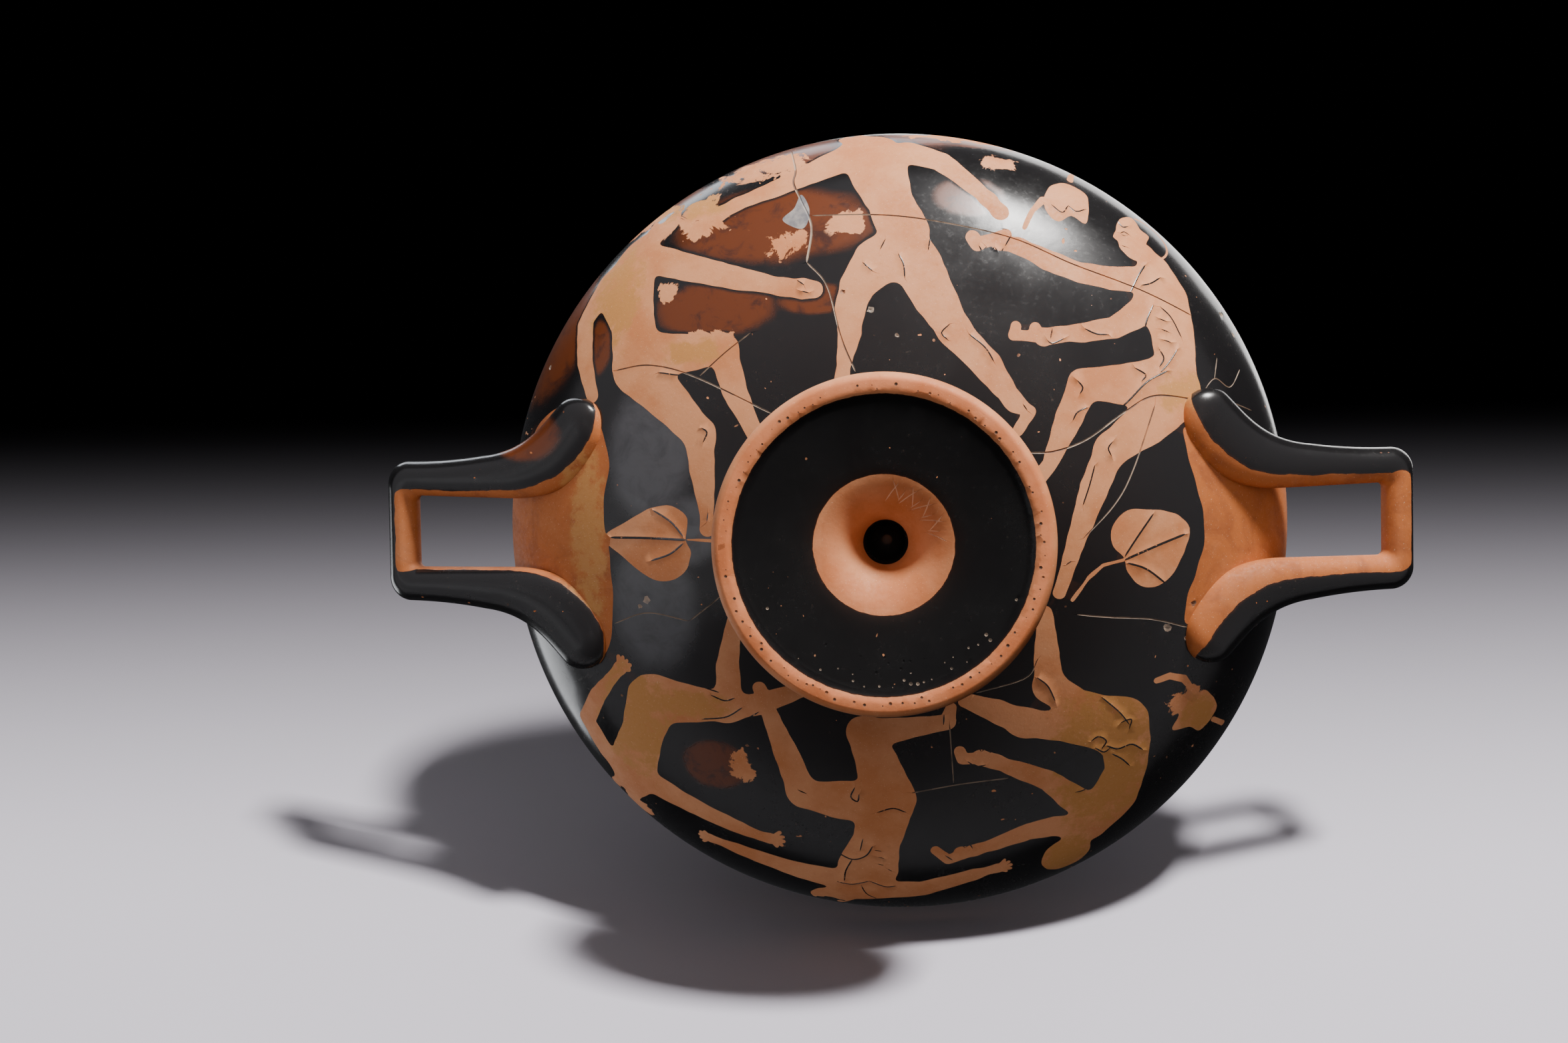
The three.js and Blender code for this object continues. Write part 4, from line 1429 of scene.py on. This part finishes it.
def clay_and_glaze(settings):
    """The cup's one material: glaze over clay, told apart by the paint written on the mesh."""
    material = bpy.data.materials.new("glazed_clay")
    material.use_nodes = True
    tree = material.node_tree
    tree.nodes.clear()
    g = Graph(tree)
    at = g.node("ShaderNodeTexCoord").outputs["Object"]
    paint = g.node("ShaderNodeAttribute", attribute_name="paint")
    wear = g.node("ShaderNodeAttribute", attribute_name="wear")
    mended = g.node("ShaderNodeAttribute", attribute_name="mended").outputs["Fac"]
    paint_parts = g.node("ShaderNodeSeparateColor", {0: paint.outputs["Color"]}).outputs
    wear_parts = g.node("ShaderNodeSeparateColor", {0: wear.outputs["Color"]}).outputs
    bare, ink, crack = paint_parts[0], paint_parts[1], paint_parts[2]
    edge = g.math("MULTIPLY", g.math("SUBTRACT", g.noise(at, 380, 3), 0.5), 0.5)
    wander = g.math("MULTIPLY", g.math("SUBTRACT", g.noise(at, 90, 2), 0.5),
                    g.math("MULTIPLY", paint.outputs["Alpha"], 1.6))
    bare_edge = g.math("ADD", bare, g.math("ADD", edge, wander))
    is_bare = g.ramp(bare_edge, -0.05, 0.05)

    clay = g.node("ShaderNodeGroup", node_tree=clay_group())
    for name, value in (("Vector", at), ("Clay", (*settings.clay_color, 1)),
                        ("Wash Color", (*settings.wash_color, 1)),
                        ("Stain Color", (*settings.stain_color, 1)), ("Wash", paint.outputs["Alpha"]),
                        ("Stain", wear.outputs["Alpha"])):
        g.feed(clay.inputs[name], value)
    glaze = g.node("ShaderNodeGroup", node_tree=glaze_group())
    for name, value in (("Vector", at), ("Glaze", (*settings.glaze_color, 1)),
                        ("Misfire Color", (*settings.misfire_color, 1)),
                        ("Inside", g.math("MULTIPLY", bare, -1.0)), ("Misfire", wear_parts[0]),
                        ("Flake", wear_parts[1]), ("Wear", wear_parts[2])):
        g.feed(glaze.inputs[name], value)

    shows_clay = g.math("MAXIMUM", is_bare, glaze.outputs["Flaked"])
    line = g.math("MULTIPLY", ink, g.ramp(g.noise(at, 900, 3), 0.24, 0.4))
    shows_clay = g.math("MULTIPLY", shows_clay, g.math("SUBTRACT", 1.0, line))
    color = g.mix(shows_clay, glaze.outputs["Color"], clay.outputs["Color"])
    thin = g.math("MULTIPLY", g.ramp(bare_edge, -0.55, 0.0), g.math("SUBTRACT", 1.0, is_bare))
    color = g.mix(g.math("MULTIPLY", thin, 0.3), color, (0.10, 0.032, 0.014, 1))
    rough = g.blend(shows_clay, glaze.outputs["Roughness"], clay.outputs["Roughness"])
    broken = g.math("MULTIPLY", g.ramp(crack, 0.2, 0.4), g.ramp(g.noise(at, 260, 4), 0.36, 0.55, 0.5, 1))
    dust = g.mix(is_bare, (0.36, 0.27, 0.20, 1), (0.15, 0.075, 0.045, 1))
    color = g.mix(broken, color, dust)
    scratch = g.ramp(g.math("MULTIPLY", crack, -1.0), 0.3, 0.8)
    color = g.mix(g.math("MULTIPLY", scratch, 0.75), color, (0.88, 0.60, 0.42, 1))
    fill = g.mix(g.ramp(g.noise(at, 300, 4), 0.35, 0.65), (0.16, 0.165, 0.18, 1), (0.33, 0.31, 0.29, 1))
    color = g.mix(g.math("MULTIPLY", mended, 0.9), color, fill)
    rough = g.blend(g.math("MAXIMUM", broken, mended), rough, 0.7)

    height = g.blend(shows_clay, glaze.outputs["Height"], clay.outputs["Height"])
    height = g.math("ADD", height, g.math("MULTIPLY", shows_clay, -0.35))
    bump = g.node("ShaderNodeBump", {"Height": height, "Strength": 0.5, "Distance": 0.00011})
    shader = g.node("ShaderNodeBsdfPrincipled", {
        "Base Color": color, "Roughness": rough, "Normal": bump.outputs[0], "IOR": 1.5,
        "Coat Weight": g.math("MULTIPLY", g.math("SUBTRACT", 1.0, shows_clay), 0.25),
        "Coat Roughness": 0.12})
    g.node("ShaderNodeOutputMaterial", {"Surface": shader.outputs[0]})
    return material


# ---------------------------------------------------------------- stage materials

def one_sided_floor():
    """A pale floor that is seen only from above and throws no shadow."""
    material = bpy.data.materials.new("floor")
    material.use_nodes = True
    material.node_tree.nodes.clear()
    g = Graph(material.node_tree)
    path = g.node("ShaderNodeLightPath").outputs
    back = g.node("ShaderNodeNewGeometry").outputs["Backfacing"]
    solid = g.node("ShaderNodeBsdfPrincipled", {"Base Color": (0.62, 0.60, 0.62, 1), "Roughness": 0.7})
    clear = g.node("ShaderNodeBsdfTransparent")
    open_to = g.math("MAXIMUM", path["Is Shadow Ray"], back)
    mixed = g.node("ShaderNodeMixShader", {0: open_to, 1: solid.outputs[0], 2: clear.outputs[0]})
    g.node("ShaderNodeOutputMaterial", {"Surface": mixed.outputs[0]})
    return material


def beyond_floor(color):
    """The studio floor of the low view, its colour pale near the cup and dark beyond it, a painted
    falloff of the light: above the level that the cup stands on, it is met only by sight that came up
    through the other floor."""
    material = bpy.data.materials.new("studio_floor")
    material.use_nodes = True
    material.node_tree.nodes.clear()
    g = Graph(material.node_tree)
    path = g.node("ShaderNodeLightPath").outputs
    solid = g.node("ShaderNodeBsdfDiffuse")
    clear = g.node("ShaderNodeBsdfTransparent")
    away = g.node("ShaderNodeSeparateXYZ", {0: g.node("ShaderNodeTexCoord").outputs["Object"]}).outputs[2]
    # Painted light: the floor's colour fades from pale to black away from the cup.
    painted_falloff = g.math("POWER", g.ramp(away, 0.10, 0.47, 1.0, 0.0), 1.6)
    g.feed(solid.inputs["Color"], g.mix(painted_falloff, (0.0, 0.0, 0.0, 1), (*color, 1)))
    met = g.math("MULTIPLY", path["Is Camera Ray"],
                 g.math("MAXIMUM", g.math("GREATER_THAN", path["Transparent Depth"], 0.5),
                        g.math("LESS_THAN", away, 0.0)))
    mixed = g.node("ShaderNodeMixShader", {0: met, 1: clear.outputs[0], 2: solid.outputs[0]})
    g.node("ShaderNodeOutputMaterial", {"Surface": mixed.outputs[0]})
    return material


def studio_world():
    """Pale towards the horizon and black overhead to the eye, a dim even glow for everything else."""
    world = bpy.data.worlds.new("studio")
    world.use_nodes = True
    world.node_tree.nodes.clear()
    g = Graph(world.node_tree)
    path = g.node("ShaderNodeLightPath").outputs
    way = g.node("ShaderNodeTexCoord").outputs["Generated"]
    height = g.node("ShaderNodeSeparateXYZ", {0: way}).outputs[2]
    seen = g.mix(g.ramp(height, 0.25, 0.7), (0.42, 0.41, 0.43, 1), (0.0, 0.0, 0.0, 1))
    glow = g.mix(g.ramp(height, -0.3, 0.6), (0.010, 0.010, 0.011, 1), (0.030, 0.030, 0.032, 1))
    color = g.mix(path["Is Camera Ray"], glow, seen)
    light = g.node("ShaderNodeBackground", {"Color": color, "Strength": 1.0})
    g.node("ShaderNodeOutputWorld", {"Surface": light.outputs[0]})
    bpy.context.scene.world = world


# ---------------------------------------------------------------- operators

def color_property(name, description, default):
    return bpy.props.FloatVectorProperty(name=name, description=description, subtype="COLOR", size=3,
                                         min=0.0, max=1.0, default=default)


class CupSettings(bpy.types.PropertyGroup):
    glaze_color: color_property("Glaze", "Colour of the black glaze", (0.0085, 0.008, 0.0085))
    misfire_color: color_property("Misfired glaze", "Colour where the glaze fired brown",
                                  (0.115, 0.026, 0.0045))
    clay_color: color_property("Clay", "Colour of the bare clay", (0.60, 0.215, 0.075))
    wash_color: color_property("Wash", "Colour of the clay between the handles", (0.45, 0.125, 0.024))
    stain_color: color_property("Stain", "Colour of the ochre stains", (0.50, 0.22, 0.060))


class StageSettings(bpy.types.PropertyGroup):
    key_power: bpy.props.FloatProperty(
        name="Key light", description="Power of the main softbox in watts", min=0.0, default=34.0)
    fill_power: bpy.props.FloatProperty(
        name="Fill light", description="Power of the weak lights in watts", min=0.0, default=4.5)
    floor_drop: bpy.props.FloatProperty(
        name="Floor distance", description="Distance of the studio floor from the cup's axis",
        subtype="DISTANCE", unit="LENGTH", default=0.1642)
    floor_color: color_property("Floor", "Colour of the studio floor", (0.55, 0.53, 0.57))


class KYLIX_OT_cup(bpy.types.Operator):
    """Build the cup: turned bowl, stem and foot with two handles, painted and worn, in one surface"""
    bl_idname = "kylix.cup"
    bl_label = "Kylix cup"

    def execute(self, context):
        cup = build_body(wall_marks(), under_marks())
        finish_surface(cup)
        cup.data.materials.append(clay_and_glaze(context.scene.kylix_cup))
        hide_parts("kylix")
        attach(cup, "root")
        return {"FINISHED"}


class KYLIX_OT_stage(bpy.types.Operator):
    """Add the floors, the soft lights, the dim surroundings and the camera"""
    bl_idname = "kylix.stage"
    bl_label = "Stage"

    def execute(self, context):
        settings = context.scene.kylix_stage
        add_camera()
        studio_world()
        floor = plane("floor", [(x * FLOOR_HALF, y * FLOOR_HALF, 0)
                                for x, y in ((-1, -1), (1, -1), (1, 1), (-1, 1))])
        floor.data.materials.append(one_sided_floor())
        level = Vector((0, settings.floor_drop, 0))
        side = Vector((STUDIO_HALF_WIDTH, 0, 0))
        near, far = level - FLOOR_AWAY, level + STUDIO_LENGTH * FLOOR_AWAY
        studio = plane("studio_floor", [near - side, far - side, far + side, near + side])
        studio.data.materials.append(beyond_floor(settings.floor_color))
        upper = bpy.data.collections.new("cup_and_floor")
        below = bpy.data.collections.new("studio_only")
        below.objects.link(studio)
        for thing in context.scene.objects:
            if thing.type == "MESH" and thing != studio:
                upper.objects.link(thing)
        for name, place, size, share, color in CUP_LIGHTS:
            power = settings.key_power if name == "key" else share * settings.fill_power
            add_light(name, place, size, power, color, upper)
        add_light("floor_key", FLOOR_KEY_PLACE, FLOOR_KEY_SIZE,
                  FLOOR_KEY_SHARE * settings.key_power, (1.0, 0.97, 1.0), below)
        return {"FINISHED"}


class KYLIX_PT_panel(bpy.types.Panel):
    """Kylix cup tools"""
    bl_idname = "KYLIX_PT_panel"
    bl_label = "Kylix cup"
    bl_space_type = "VIEW_3D"
    bl_region_type = "UI"
    bl_category = "Kylix"

    def draw(self, context):
        layout = self.layout
        for settings in (context.scene.kylix_cup, context.scene.kylix_stage):
            for name in type(settings).__annotations__:
                layout.prop(settings, name)
        layout.operator("kylix.cup")
        layout.operator("kylix.stage")


CLASSES = (CupSettings, StageSettings, KYLIX_OT_cup, KYLIX_OT_stage, KYLIX_PT_panel)


def register():
    for cls in CLASSES:
        bpy.utils.register_class(cls)
    bpy.types.Scene.kylix_cup = bpy.props.PointerProperty(type=CupSettings)
    bpy.types.Scene.kylix_stage = bpy.props.PointerProperty(type=StageSettings)


def unregister():
    del bpy.types.Scene.kylix_stage
    del bpy.types.Scene.kylix_cup
    for cls in reversed(CLASSES):
        bpy.utils.unregister_class(cls)


def main():
    register()
    bpy.ops.kylix.cup()
    bpy.ops.kylix.stage()


if __name__ == "__main__":
    main()
